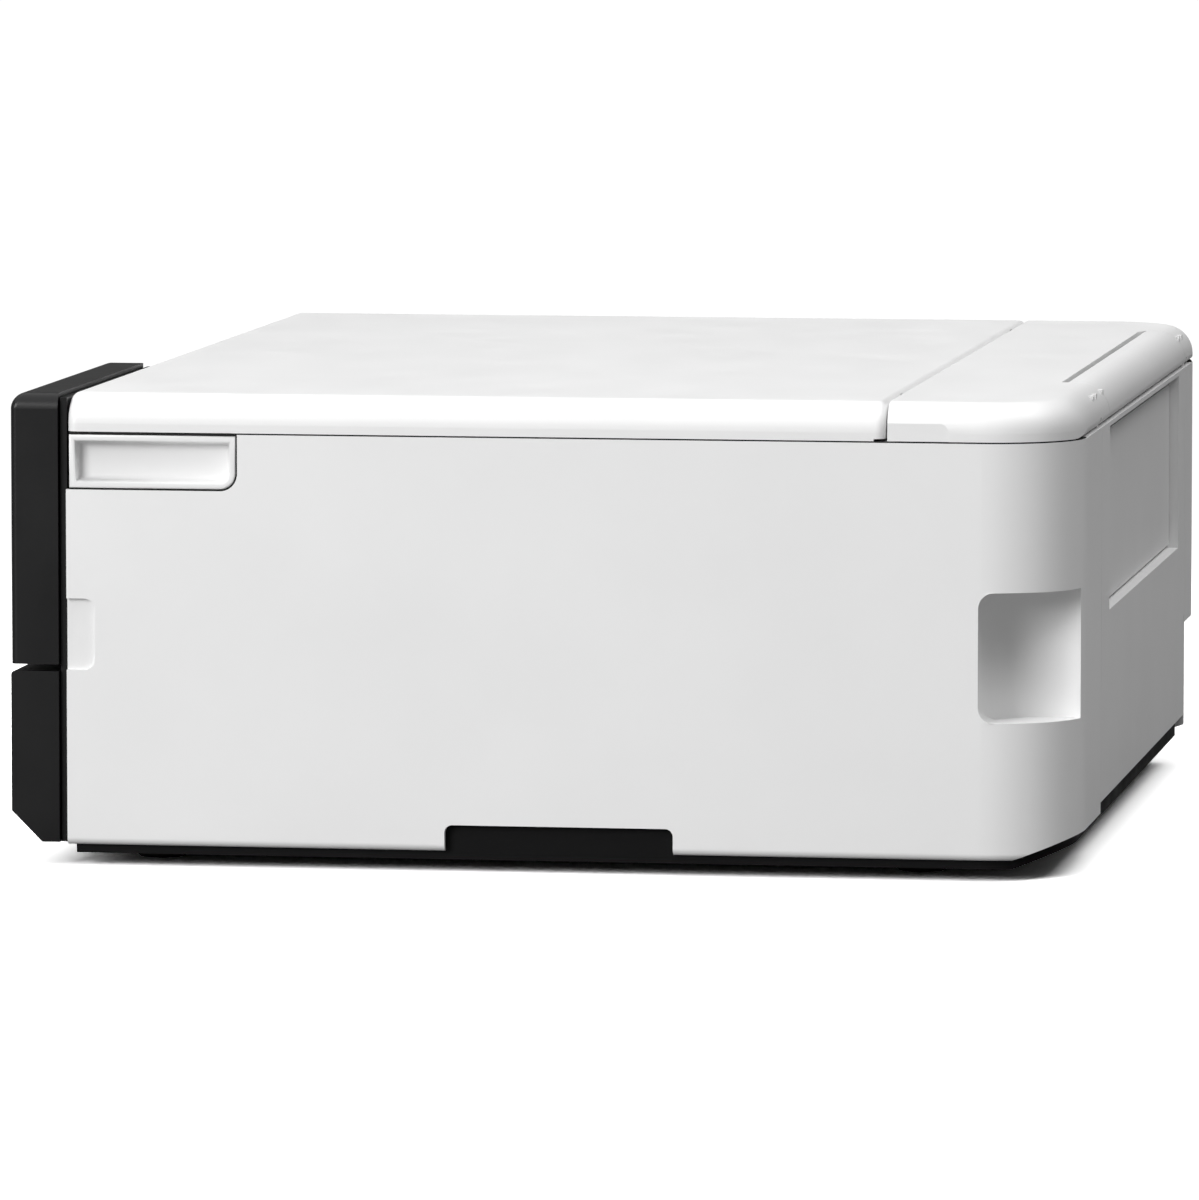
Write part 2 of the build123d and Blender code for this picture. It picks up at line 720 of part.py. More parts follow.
# Black front frame behind the doors
with BuildPart() as bezel:
    with BuildSketch(Plane.XZ.offset(-casing_front_y)):
        span_rectangle((-bezel_x, bezel_x), (tray_front_low_z, cheek_top_z))
        span_rectangle((cheek_x[1], bezel_x), (tray_front_low_z, bezel_crest_z))
    extrude(amount=casing_front_y - bezel_front_y)
    # Stiffening rim behind the frame, under the scanner unit
    with BuildSketch(Plane.XZ.offset(-casing_front_y)):
        span_rectangle((-base_x, base_x), (base_rim_z + 1.0, housing_low_z - 1.4))
    extrude(amount=-bezel_rim_depth)
    with BuildSketch(Plane.XZ.offset(-casing_front_y)):
        span_rectangle(
            (-base_x + bezel_rim_wall, base_x - bezel_rim_wall),
            (0.0, housing_low_z - 1.4 - bezel_rim_wall),
        )
    extrude(amount=-bezel_rim_depth, mode=Mode.SUBTRACT)
    # Openings for the paper tray, the prints and the ink cartridges
    for across, up in (
        (bay_opening_x, (0.0, bay_opening_z)),
        (output_opening_x, output_opening_z),
        (ink_opening_x, ink_opening_z),
    ):
        with BuildSketch(Plane.XZ.offset(-casing_front_y - 1.0)):
            span_rectangle(across, up)
        extrude(amount=casing_front_y - bezel_front_y + 2.0, mode=Mode.SUBTRACT)
    # Cheeks at both ends of the control panel
    cheek_front_y = panel_bottom_y + 0.5
    for across, low in (((-half_width + 0.5, panel_left_x - door_gap), front_split_high_z), (cheek_x, cheek_low_z)):
        with BuildSketch(Plane.YZ.offset(across[0])) as cheek:
            with BuildLine():
                Polyline(
                    (bezel_front_y, low),
                    (cheek_front_y, low),
                    (cheek_front_y, panel_low_z),
                    (cheek_front_y + panel_slope_y, cheek_top_z),
                    (bezel_front_y, cheek_top_z),
                    (bezel_front_y, low),
                )
            make_face()
            fillet(cheek.vertices().group_by(Axis.Y)[-1].sort_by(Axis.X)[0], 3.0)
        extrude(amount=across[1] - across[0])
    round_bar(
        (-half_width - 1.0, cheek_x[1] + 1.0),
        panel_hinge_y,
        panel_hinge_z,
        panel_pin_r + pin_gap,
        mode=Mode.SUBTRACT,
    )
    # Hinge arms for the ink cover
    for arm_z in ink_arm_z:
        with BuildSketch(Plane.XY.offset(arm_z - ink_arm_height / 2)):
            span_rectangle(
                (ink_hinge_x - ink_arm_half, ink_hinge_x + ink_arm_half),
                (ink_hinge_y, bezel_front_y),
            )
            with Locations((ink_hinge_x, ink_hinge_y)):
                Circle(ink_eye_r)
                Circle(ink_pin_r + pin_gap, mode=Mode.SUBTRACT)
        extrude(amount=ink_arm_height)
save(bezel, "front_bezel")

# Ink cover: a deep black door hinged on its inner edge
with BuildPart() as ink_cover:
    door_z = (front_split_high_z, height)
    with BuildSketch(Plane.XY.offset(door_z[0])) as door_plan:
        span_rectangle((ink_cover_left_x, half_width), (front_y, front_back_y))
        fillet(door_plan.vertices().group_by(Axis.Y)[0].sort_by(Axis.X)[0], ink_hinge_inset)
        fillet(door_plan.vertices().group_by(Axis.Y)[0].sort_by(Axis.X)[-1], ink_cover_edge_r)
    extrude(amount=door_z[1] - door_z[0])
    top_front = ink_cover.edges().group_by(Axis.Z)[-1].filter_by(Axis.X).sort_by(Axis.Y)[0]
    fillet(top_front, top_round)
    # Hollow inside
    span_box(
        (ink_cover_left_x + ink_cover_wall, half_width - ink_cover_wall),
        (front_y + ink_cover_wall, front_back_y + 1.0),
        (door_z[0] + ink_cover_wall, door_z[1] - ink_cover_wall),
        mode=Mode.SUBTRACT,
    )
    # The hinge edge is cut back so that it swings clear of the frame
    span_box(
        (ink_cover_left_x - 1.0, ink_hinge_x),
        (left_wall_back_y, front_back_y + 1.0),
        (door_z[0] - 1.0, door_z[1] + 1.0),
        mode=Mode.SUBTRACT,
    )
    # Stiffening ribs
    with BuildSketch(Plane.XY.offset(door_z[0] + 1.0)):
        for rib_x in ink_cover_rib_x:
            span_rectangle((rib_x - 0.8, rib_x + 0.8), (front_y + 1.0, front_y + 7.0))
    extrude(amount=door_z[1] - door_z[0] - 2.0 - top_round)
    # Notches that the hinge arms pass through, and the bosses and pins
    knuckle_gap = 0.4
    for arm_z in ink_arm_z:
        arm_low = arm_z - ink_arm_height / 2 - knuckle_gap
        arm_high = arm_z + ink_arm_height / 2 + knuckle_gap
        span_box(
            (ink_cover_left_x - 1.0, ink_cover_left_x + ink_cover_wall),
            (front_y + ink_cover_wall, front_back_y + 1.0),
            (arm_low, arm_high),
            mode=Mode.SUBTRACT,
        )
        for boss_low in (arm_low - 3.0, arm_high):
            span_box(
                (ink_cover_left_x + 1.0, ink_hinge_x + 1.8),
                (front_y + 1.0, ink_hinge_y + 1.8),
                (boss_low, boss_low + 3.0),
            )
        with Locations((ink_hinge_x, ink_hinge_y, arm_z)):
            Cylinder(ink_pin_r, arm_high - arm_low + 2.0)
save(ink_cover, "ink_cover")

# Control panel, hinged along its top edge
panel_rise = panel_top_z - panel_low_z
panel_face_length = sqrt(panel_rise**2 + panel_slope_y**2)
panel_normal = (0.0, -panel_rise / panel_face_length, panel_slope_y / panel_face_length)
panel_face = Plane(origin=(0.0, panel_bottom_y, panel_low_z), x_dir=(1, 0, 0), z_dir=panel_normal)
button_flange_top = -panel_wall - seat_gap
with BuildPart() as panel:
    with BuildSketch(Plane.YZ.offset(panel_left_x)):
        with BuildLine():
            Polyline(
                (panel_hinge_y + panel_hinge_r, panel_hinge_z),
                (panel_back_y, panel_hinge_z - 8.0),
                (panel_back_y, panel_low_z),
                (panel_bottom_y, panel_low_z),
                (panel_bottom_y + panel_slope_y, panel_top_z),
                (panel_hinge_y, panel_top_z),
            )
            ThreePointArc(
                (panel_hinge_y, panel_top_z),
                (
                    panel_hinge_y + panel_hinge_r * cos(radians(45.0)),
                    panel_hinge_z + panel_hinge_r * sin(radians(45.0)),
                ),
                (panel_hinge_y + panel_hinge_r, panel_hinge_z),
            )
        make_face()
    extrude(amount=panel_right_x - panel_left_x)
    front_edges = panel.edges().filter_by(Axis.X).group_by(Axis.Y)
    fillet(front_edges[0], 1.5)
    # Hollow back
    with BuildSketch(Plane.YZ.offset(panel_left_x + panel_wall)):
        Polygon(
            (panel_back_y + 1.0, panel_low_z + panel_wall),
            (panel_bottom_y + panel_wall + 0.4, panel_low_z + panel_wall),
            (panel_bottom_y + panel_wall + 4.6, panel_hinge_z - 6.5),
            (panel_back_y + 1.0, panel_hinge_z - 6.5),
            align=None,
        )
    extrude(amount=panel_right_x - panel_left_x - 2 * panel_wall, mode=Mode.SUBTRACT)
    # Holes for the buttons and the recess for the display
    with BuildSketch(panel_face):
        for middle in button_x.values():
            with Locations((middle, panel_face_length / 2)):
                Circle(button_r + seat_gap)
    extrude(amount=-2 * panel_wall, both=False, mode=Mode.SUBTRACT)
    with BuildSketch(panel_face):
        span_rectangle(
            display_x,
            (panel_face_length / 2 - display_height / 2, panel_face_length / 2 + display_height / 2),
        )
    extrude(amount=-display_thickness, mode=Mode.SUBTRACT)
    for ends in (
        (panel_left_x - panel_pin_length, panel_left_x + 1.0),
        (panel_right_x - 1.0, panel_right_x + panel_pin_length),
    ):
        round_bar(ends, panel_hinge_y, panel_hinge_z, panel_pin_r)
save(panel, "control_panel")

with BuildPart() as display:
    with BuildSketch(panel_face.offset(-display_thickness)):
        span_rectangle(
            (display_x[0] + 0.1, display_x[1] - 0.1),
            (
                panel_face_length / 2 - display_height / 2 + 0.1,
                panel_face_length / 2 + display_height / 2 - 0.1,
            ),
        )
    extrude(amount=display_thickness)
save(display, "display")

for name, middle in button_x.items():
    with BuildPart() as button:
        with BuildSketch(panel_face.offset(button_flange_top - button_flange)):
            with Locations((middle, panel_face_length / 2)):
                Circle(button_r + 1.4)
        extrude(amount=button_flange)
        with BuildSketch(panel_face.offset(button_flange_top - button_flange)):
            with Locations((middle, panel_face_length / 2)):
                Circle(button_r)
        extrude(amount=button_flange - button_flange_top + button_proud)
        crown = button.faces().sort_by(Axis(panel_face.origin, panel_face.z_dir))[-1]
        fillet(crown.edges(), 0.5)
    save(button, name)

# Scanner unit: the tub under the glass
with BuildPart() as housing:
    with BuildSketch(Plane.XY.offset(housing_low_z)) as tub_plan:
        span_rectangle((-housing_x, housing_x), (housing_front_y, housing_rear_y))
        fillet(tub_plan.vertices(), 4.0)
    extrude(amount=frame_low_z - housing_low_z)
    with BuildSketch(Plane.XY.offset(housing_low_z + housing_floor)) as tub_inside:
        span_rectangle(
            (-housing_x + housing_wall, housing_x - housing_wall),
            (housing_front_y + housing_wall, housing_rear_y - housing_wall),
        )
        fillet(tub_inside.vertices(), 2.0)
    extrude(amount=frame_low_z, mode=Mode.SUBTRACT)
    round_bar(
        (-housing_x + 1.0, housing_x - 1.0), scan_rod_y, scan_rod_z, scan_rod_r + pin_gap, mode=Mode.SUBTRACT
    )
save(housing, "scanner_housing")

with BuildPart() as scan_rod:
    round_bar((-housing_x + 1.2, housing_x - 1.2), scan_rod_y, scan_rod_z, scan_rod_r)
save(scan_rod, "scan_rod")

# Image sensor bar that travels under the glass
with BuildPart() as scan_bar:
    with BuildSketch(Plane.YZ.offset(scan_rest_x - scan_bar_width / 2)) as bar_profile:
        span_rectangle((glass_front_y + 4.0, glass_rear_y - 4.0), (scan_bar_low_z, scan_bar_top_z))
        fillet(bar_profile.vertices().group_by(Axis.Y)[0], 3.0)
        with Locations((scan_rod_y, scan_rod_z)):
            Circle(scan_bush_r)
            Circle(scan_rod_r + pin_gap, mode=Mode.SUBTRACT)
    extrude(amount=scan_bar_width)
    # Window for the sensor
    span_box(
        (scan_rest_x - 2.0, scan_rest_x + 2.0),
        (glass_front_y + 8.0, glass_rear_y - 8.0),
        (scan_bar_top_z - 1.0, scan_bar_top_z + 1.0),
        mode=Mode.SUBTRACT,
    )
save(scan_bar, "scan_bar")

# Frame round the scanner glass, with the posts of the lid's hinge
with BuildPart() as glass_frame:
    with BuildSketch(Plane.XY.offset(frame_low_z)) as frame_plan:
        span_rectangle((-frame_x, frame_x), (frame_front_y, frame_rear_y))
        fillet(frame_plan.vertices(), 3.0)
    extrude(amount=frame_top_z - frame_low_z)
    glass_low_z = frame_top_z - glass_sink - glass_thickness
    span_box(
        (-glass_x + glass_ledge, glass_x - glass_ledge),
        (glass_front_y + glass_ledge, glass_rear_y - glass_ledge),
        (frame_low_z - 1.0, frame_top_z + 1.0),
        mode=Mode.SUBTRACT,
    )
    span_box(
        (-glass_x - 0.1, glass_x + 0.1),
        (glass_front_y - 0.1, glass_rear_y + 0.1),
        (glass_low_z, frame_top_z + 1.0),
        mode=Mode.SUBTRACT,
    )
    for post_x in (-lid_post_x, lid_post_x):
        with BuildSketch(Plane.YZ.offset(post_x - lid_post_width / 2)):
            span_rectangle((lid_hinge_y - lid_eye_r, lid_hinge_y + lid_eye_r), (frame_low_z + 1.0, lid_hinge_z))
            with Locations((lid_hinge_y, lid_hinge_z)):
                Circle(lid_eye_r)
                Circle(lid_pin_r + pin_gap, mode=Mode.SUBTRACT)
        extrude(amount=lid_post_width)
save(glass_frame, "glass_frame")

with BuildPart() as glass:
    span_box((-glass_x, glass_x), (glass_front_y, glass_rear_y), (glass_low_z, glass_low_z + glass_thickness))
save(glass, "scanner_glass")

# Side grips of the scanner unit, flush with the casing
with BuildPart() as grips:
    for side in (1, -1):
        with BuildSketch(Plane.YZ.offset(side * housing_x)) as tab:
            span_rectangle((grip_tab_front_y, grip_tab_rear_y), (grip_tab_low_z, grip_tab_top_z))
            fillet(tab.vertices().group_by(Axis.X)[-1].sort_by(Axis.Y)[0], grip_tab_r)
        extrude(amount=side * (half_width - housing_x))
        with BuildSketch(Plane.YZ.offset(side * half_width)) as scoop:
            span_rectangle((pocket_front_y, pocket_rear_y), (pocket_low_z, pocket_top_z))
            fillet(scoop.vertices(), 1.6)
        extrude(amount=-side * grip_tab_pocket_depth, mode=Mode.SUBTRACT)
    # The tabs' tops reach under the glass frame
    span_box(
        (-frame_x - seat_gap, frame_x + seat_gap),
        (grip_tab_front_y - 1.0, grip_tab_rear_y + 1.0),
        (frame_low_z, height),
        mode=Mode.SUBTRACT,
    )
save(grips, "scanner_grips")

# Rear part of the top, hollow, with the opening for the manual feed
with BuildPart() as top_cavity:
    with BuildSketch(Plane.XY.offset(lid_bottom_z - 1.0)) as top_inside:
        span_rectangle((-half_width + lid_wall, half_width - lid_wall), (rear_cover_front_y + lid_wall, inner_rear_y))
        fillet(top_inside.vertices().group_by(Axis.Y)[-1], casing_corner_r - lid_wall)
    extrude(amount=height - lid_wall - lid_bottom_z + 1.0)
    inner_top = top_cavity.edges().group_by(Axis.Z)[-1]
    fillet(inner_top - inner_top.group_by(Axis.Y)[0], lid_side_fillet - lid_wall)
with BuildPart() as rear_cover:
    with BuildSketch(Plane.XY.offset(lid_bottom_z)) as top_outside:
        span_rectangle((-half_width, half_width), (rear_cover_front_y, rear_y))
        fillet(top_outside.vertices().group_by(Axis.Y)[-1], casing_corner_r)
    extrude(amount=height - lid_bottom_z)
    outer_top = rear_cover.edges().group_by(Axis.Z)[-1]
    fillet(outer_top - outer_top.group_by(Axis.Y)[0], lid_side_fillet)
    add(top_cavity.part, mode=Mode.SUBTRACT)
    # Foot of the front wall, on the glass frame
    span_box(
        (-frame_x, frame_x), (rear_cover_front_y, rear_cover_front_y + lid_wall), (frame_top_z, lid_bottom_z + 1.0)
    )
    # Shallow step in both sides
    for side in (1, -1):
        with BuildSketch(Plane.YZ.offset(side * (half_width + 1.0))) as relief:
            span_rectangle((rear_cover_front_y - 1.0, relief_rear_y), (lid_bottom_z - 1.0, relief_top_z))
            fillet(relief.vertices().group_by(Axis.X)[-1].sort_by(Axis.Y)[-1], 3.0)
        extrude(amount=-side * (relief_depth + 1.0), mode=Mode.SUBTRACT)
    # The lower rear edge is round about the hinge line
    with BuildSketch(Plane.YZ.offset(-half_width - 1.0)):
        span_rectangle((scanner_hinge_y, rear_y + 1.0), (lid_bottom_z - 1.0, scanner_hinge_z))
        with Locations((scanner_hinge_y, scanner_hinge_z)):
            Circle(scanner_hinge_r, mode=Mode.SUBTRACT)
    extrude(amount=width + 2.0, mode=Mode.SUBTRACT)
    # Opening for the manual feed cover and the slit in front of it
    span_box(
        (feed_cover_left_x - seat_gap, feed_cover_right_x + seat_gap),
        (feed_cover_front_y, rear_y + 1.0),
        (lid_bottom_z - 1.0, height + 1.0),
        mode=Mode.SUBTRACT,
    )
    with BuildSketch(Plane.XY.offset(height - lid_wall - 1.0)):
        Polygon(
            (feed_cover_right_x, feed_cover_front_y + 1.0),
            (feed_cover_right_x, feed_cover_front_y - feed_slit),
            (feed_slit_left_x, feed_cover_front_y - feed_slit),
            (feed_cover_left_x - seat_gap, feed_cover_front_y),
            (feed_cover_left_x - seat_gap, feed_cover_front_y + 1.0),
            align=None,
        )
    extrude(amount=lid_wall + 2.0, mode=Mode.SUBTRACT)
    # Ribs beside the manual feed cover
    for across in (
        (feed_cover_right_x + seat_gap, feed_cover_right_x + seat_gap + ear_width),
        (feed_cover_left_x - seat_gap - ear_width, feed_cover_left_x - seat_gap),
    ):
        span_box(across, (feed_cover_front_y - 4.0, inner_rear_y + 0.5), (lid_bottom_z + 1.0, height - lid_wall + 0.5))
    # Ears and pins on the hinge brackets, with a notch for each bracket
    for bracket_middle in bracket_x:
        bracket_near = bracket_width / 2 + slide_gap
        for side in (1, -1):
            ear_ends = (bracket_middle + side * bracket_near, bracket_middle + side * (bracket_near + ear_width))
            span_box(
                (min(ear_ends), max(ear_ends)),
                (scanner_hinge_y - 5.0, inner_rear_y + 0.5),
                (lid_bottom_z + 1.0, height - lid_wall + 0.5),
            )
        notch = (bracket_middle - bracket_near, bracket_middle + bracket_near)
        round_bar(notch, scanner_hinge_y, scanner_hinge_z, bracket_eye_r + 0.25, mode=Mode.SUBTRACT)
        span_box(
            notch,
            (scanner_hinge_y - 2.4, rear_y + 1.0),
            (lid_bottom_z - 1.0, scanner_hinge_z + 0.2),
            mode=Mode.SUBTRACT,
        )
        round_bar((notch[0] - 1.0, notch[1] + 1.0), scanner_hinge_y, scanner_hinge_z, scanner_pin_r)
    # Bores for the manual feed cover's pins
    for bore in (
        (feed_cover_left_x - feed_cover_pin - pin_gap, feed_cover_left_x),
        (feed_cover_right_x, feed_cover_right_x + feed_cover_pin + pin_gap),
    ):
        round_bar(bore, scanner_hinge_y, scanner_hinge_z, scanner_pin_r + pin_gap, mode=Mode.SUBTRACT)
save(rear_cover, "rear_top_cover")

# Manual feed cover: the rounded rear edge of the top, hinged at its foot
with BuildPart() as feed_cover:
    with BuildSketch(Plane.YZ.offset(feed_cover_left_x)) as feed_profile:
        span_rectangle((feed_cover_front_y, rear_y), (scanner_hinge_z, height))
        fillet(feed_profile.vertices().group_by(Axis.X)[-1].sort_by(Axis.Y)[-1], lid_side_fillet - 0.001)
        with BuildSketch(mode=Mode.SUBTRACT) as feed_inside:
            span_rectangle(
                (feed_cover_front_y - 1.0, rear_y - feed_cover_wall),
                (scanner_hinge_z - 1.0, height - feed_cover_wall),
            )
            inside_corner = feed_inside.vertices().group_by(Axis.X)[-1].sort_by(Axis.Y)[-1]
            fillet(inside_corner, lid_side_fillet - feed_cover_wall)
        # Bead round the hinge line
        with Locations((scanner_hinge_y, scanner_hinge_z)):
            Circle(scanner_hinge_r)
    extrude(amount=feed_cover_right_x - feed_cover_left_x)
    round_bar(
        (feed_cover_left_x - feed_cover_pin, feed_cover_right_x + feed_cover_pin),
        scanner_hinge_y,
        scanner_hinge_z,
        scanner_pin_r,
    )
save(feed_cover, "manual_feed_cover")

# Lid over the scanner glass, hollow underneath
with BuildPart() as lid:
    with BuildSketch(Plane.XZ.offset(-lid_front_y)) as lid_section:
        span_rectangle((-half_width, half_width), (lid_bottom_z, height))
        fillet(lid_section.vertices().group_by(Axis.Y)[-1], lid_side_fillet)
    extrude(amount=lid_front_y - lid_rear_y)
    fillet(lid.faces().sort_by(Axis.Y)[0].edges().filter_by(lambda e: e.center().Z > lid_bottom_z + 1.0), 3.0)
    fillet(lid.faces().sort_by(Axis.Y)[-1].edges().filter_by(lambda e: e.center().Z > height - 1.0), lid_hinge_r)
    with BuildSketch(Plane.XZ.offset(-lid_front_y - lid_wall)) as lid_inside:
        span_rectangle((-half_width + lid_wall, half_width - lid_wall), (lid_bottom_z - 1.0, height - lid_wall))
        fillet(lid_inside.vertices().group_by(Axis.Y)[-1], lid_side_fillet - lid_wall)
    extrude(amount=lid_front_y - lid_rear_y + 2 * lid_wall, mode=Mode.SUBTRACT)
    # The rear wall's foot is cut back so that it swings clear of the glass frame
    span_box(
        (-half_width - 1.0, half_width + 1.0),
        (lid_rear_y - lid_wall - 1.0, lid_rear_y + 1.0),
        (lid_bottom_z - 1.0, lid_bottom_z + 0.7),
        mode=Mode.SUBTRACT,
    )
    # Notches for the hinge posts, each with its pin across
    post_half = lid_post_width / 2 + 0.6
    for post_x in (-lid_post_x, lid_post_x):
        span_box(
            (post_x - post_half, post_x + post_half),
            (lid_hinge_y - lid_eye_r - lid_eye_gap, lid_rear_y + 1.0),
            (lid_bottom_z - 1.0, lid_hinge_z + lid_eye_r + lid_eye_gap),
            mode=Mode.SUBTRACT,
        )
        round_bar((post_x - post_half - 1.0, post_x + post_half + 1.0), lid_hinge_y, lid_hinge_z, lid_pin_r)
save(lid, "lid")

# White backing that holds the document against the glass
with BuildPart() as backing:
    backing_front_y = lid_front_y + lid_wall + seat_gap
    backing_rear_y = lid_hinge_y - lid_eye_r - 0.7
    with BuildSketch(Plane.XY.offset(lid_bottom_z)) as backing_plan:
        span_rectangle((-inner_x + seat_gap, inner_x - seat_gap), (backing_front_y, backing_rear_y))
        fillet(backing_plan.vertices(), 2.0)
    extrude(amount=backing_thickness)
    # Ribs up to the lid's top
    with BuildSketch(Plane.XY.offset(lid_bottom_z + backing_thickness - 0.5)):
        with GridLocations(backing_rib_step[0], backing_rib_step[1], 4, 4):
            Rectangle(30.0, 1.6)
            Rectangle(1.6, 30.0)
    extrude(amount=height - lid_wall - seat_gap - lid_bottom_z - backing_thickness + 0.5)
save(backing, "lid_backing")

# Chassis: walls and deck over the tray, plates that carry the rollers
with BuildPart() as chassis:
    chassis_ends = (chassis_x[0] - chassis_wall, chassis_x[1] + chassis_wall)
    with BuildSketch(Plane.XZ.offset(-chassis_front_y)):
        span_rectangle(chassis_ends, (base_top_z, deck_top_z))
        with BuildSketch(mode=Mode.SUBTRACT):
            span_rectangle(chassis_x, (base_top_z - 1.0, deck_low_z))
    extrude(amount=chassis_front_y - chassis_rear_y)
    # Opening for the pickup arm
    span_box(pickup_opening_x, pickup_opening_y, (deck_low_z - 1.0, deck_top_z + 1.0), mode=Mode.SUBTRACT)
    # Plates that carry the rollers
    for plate_x in chassis_ends:
        inner_face = plate_x + chassis_wall if plate_x < 0 else plate_x - chassis_wall
        with BuildSketch(Plane.YZ.offset(min(plate_x, inner_face))) as roller_plate:
            span_rectangle(roller_plate_y, (deck_low_z, roller_plate_top_z))
            fillet(roller_plate.vertices().group_by(Axis.Y)[-1], 4.0)
        extrude(amount=chassis_wall)
    for roller_y in (feed_roller_y, exit_roller_y):
        round_bar(
            (chassis_ends[0] - 1.0, chassis_ends[1] + 1.0),
            roller_y,
            roller_z,
            roller_shaft_r + pin_gap,
            mode=Mode.SUBTRACT,
        )
    # Post for the idler gear
    round_bar((gear_x - 0.6, chassis_ends[0] + 1.0), idler_y, roller_z, roller_shaft_r)
    # Shelf and plate for the feed motor
    span_box((motor_plate_x, chassis_ends[0] + 1.0), motor_plate_y, (deck_low_z, deck_top_z))
    with BuildSketch(Plane.YZ.offset(motor_plate_x)) as motor_plate:
        span_rectangle(motor_plate_y, (deck_low_z, motor_z + 13.0))
        with Locations((motor_y, motor_z)):
            Circle(4.0, mode=Mode.SUBTRACT)
    extrude(amount=sheet)
    # Lugs for the pickup arm's pivot
    for lug_x in (pickup_opening_x[0] - lug_thickness, pickup_opening_x[1]):
        with BuildSketch(Plane.YZ.offset(lug_x)):
            span_rectangle((pickup_pivot_y - 5.0, pickup_pivot_y + 5.0), (deck_low_z, pickup_pivot_z))
            with Locations((pickup_pivot_y, pickup_pivot_z)):
                Circle(5.0)
                Circle(pickup_pin_r + pin_gap, mode=Mode.SUBTRACT)
        extrude(amount=lug_thickness)
save(chassis, "chassis")

# Output tray: the sloping shelf that the prints land on
with BuildPart() as output_tray:
    with BuildSketch(Plane.YZ.offset(output_tray_x[0])):
        Polygon(
            (chassis_front_y, deck_top_z),
            (chassis_front_y, output_deck_z),
            (output_tray_rear_y, output_deck_z - 2.5),
            (output_tray_rear_y, deck_top_z),
            align=None,
        )
    extrude(amount=output_tray_x[1] - output_tray_x[0])
    with BuildSketch(Plane.YZ.offset(output_tray_x[0] + 2.0)):
        span_rectangle(
            (chassis_front_y + 2.0, output_tray_rear_y - 2.0), (deck_top_z - 1.0, output_deck_z - 4.5)
        )
    extrude(amount=output_tray_x[1] - output_tray_x[0] - 4.0, mode=Mode.SUBTRACT)
save(output_tray, "output_tray")

# Paper support that slides out over the tray front
with BuildPart() as support:
    with BuildSketch(Plane.XY.offset(support_low_z)) as support_plan:
        span_rectangle(support_x, (front_y + 1.5, front_y + 1.5 + support_travel))
        fillet(support_plan.vertices().group_by(Axis.Y)[0], 8.0)
    extrude(amount=support_thickness)
    with BuildSketch(Plane.XY.offset(support_low_z - 1.0)):
        with Locations(((support_x[0] + support_x[1]) / 2, front_y + 55.0)):
            with GridLocations(20.0, 1.0, 3, 1):
                SlotOverall(support_slot, 8.0, rotation=90.0)
    extrude(amount=support_thickness + 2.0, mode=Mode.SUBTRACT)
save(support, "paper_support")

# Platen: the ribbed bed under the print head
with BuildPart() as platen:
    with BuildSketch(Plane.YZ.offset(platen_x[0])):
        span_rectangle(platen_y, (deck_top_z, platen_top_z - 2.0))
        with BuildSketch(mode=Mode.SUBTRACT):
            span_rectangle((platen_y[0] + 2.0, platen_y[1] - 2.0), (deck_top_z - 1.0, platen_top_z - 5.0))
    extrude(amount=platen_x[1] - platen_x[0])
    with BuildSketch(Plane.XY.offset(platen_top_z - 2.1)):
        with Locations((paper_centre_x, (platen_y[0] + platen_y[1]) / 2)):
            with GridLocations(platen_rib_step, 1.0, 11, 1):
                SlotOverall(platen_y[1] - platen_y[0] - 6.0, 1.6, rotation=90.0)
    extrude(amount=2.1)
save(platen, "platen")

# Feed and exit rollers, each with its gear on the left end
for name, roller_y, teeth, roller_r in (
    ("feed_roller", feed_roller_y, feed_teeth, feed_roller_r),
    ("exit_roller", exit_roller_y, exit_teeth, exit_roller_r),
):
    with BuildPart() as roller:
        round_bar((gear_x, chassis_ends[1] + 2.0), roller_y, roller_z, roller_shaft_r)
        band_count = 6
        band_pitch = (platen_x[1] - platen_x[0]) / band_count
        for band in range(band_count):
            band_x = platen_x[0] + (band + 0.5) * band_pitch
            round_bar((band_x - 15.0, band_x + 15.0), roller_y, roller_z, roller_r)
        with BuildSketch(Plane.YZ.offset(gear_x)):
            with Locations((roller_y, roller_z)):
                gear_teeth(teeth, 0.0)
        extrude(amount=gear_face)
    save(roller, name)

# Idler gear between the two rollers
with BuildPart() as idler:
    with BuildSketch(Plane.YZ.offset(gear_x)):
        with Locations((idler_y, roller_z)):
            gear_teeth(idler_teeth, 180.0 / idler_teeth)
            Circle(roller_shaft_r + pin_gap, mode=Mode.SUBTRACT)
    extrude(amount=gear_face)
save(idler, "idler_gear")

# Feed motor and its pinion
with BuildPart() as feed_motor:
    round_bar((motor_plate_x - motor_length, motor_plate_x), motor_y, motor_z, motor_r)
    fillet(feed_motor.edges().group_by(Axis.X)[0], 2.0)
    round_bar((motor_plate_x - 1.0, motor_plate_x + sheet + 0.5), motor_y, motor_z, 3.5)
    round_bar((motor_plate_x - 1.0, gear_x + gear_face), motor_y, motor_z, motor_shaft_r)
save(feed_motor, "feed_motor")
with BuildPart() as pinion:
    with BuildSketch(Plane.YZ.offset(gear_x)):
        with Locations((motor_y, motor_z)):
            gear_teeth(pinion_teeth, 180.0 / pinion_teeth)
            Circle(motor_shaft_r + pin_gap, mode=Mode.SUBTRACT)
    extrude(amount=gear_face)
save(pinion, "motor_pinion")

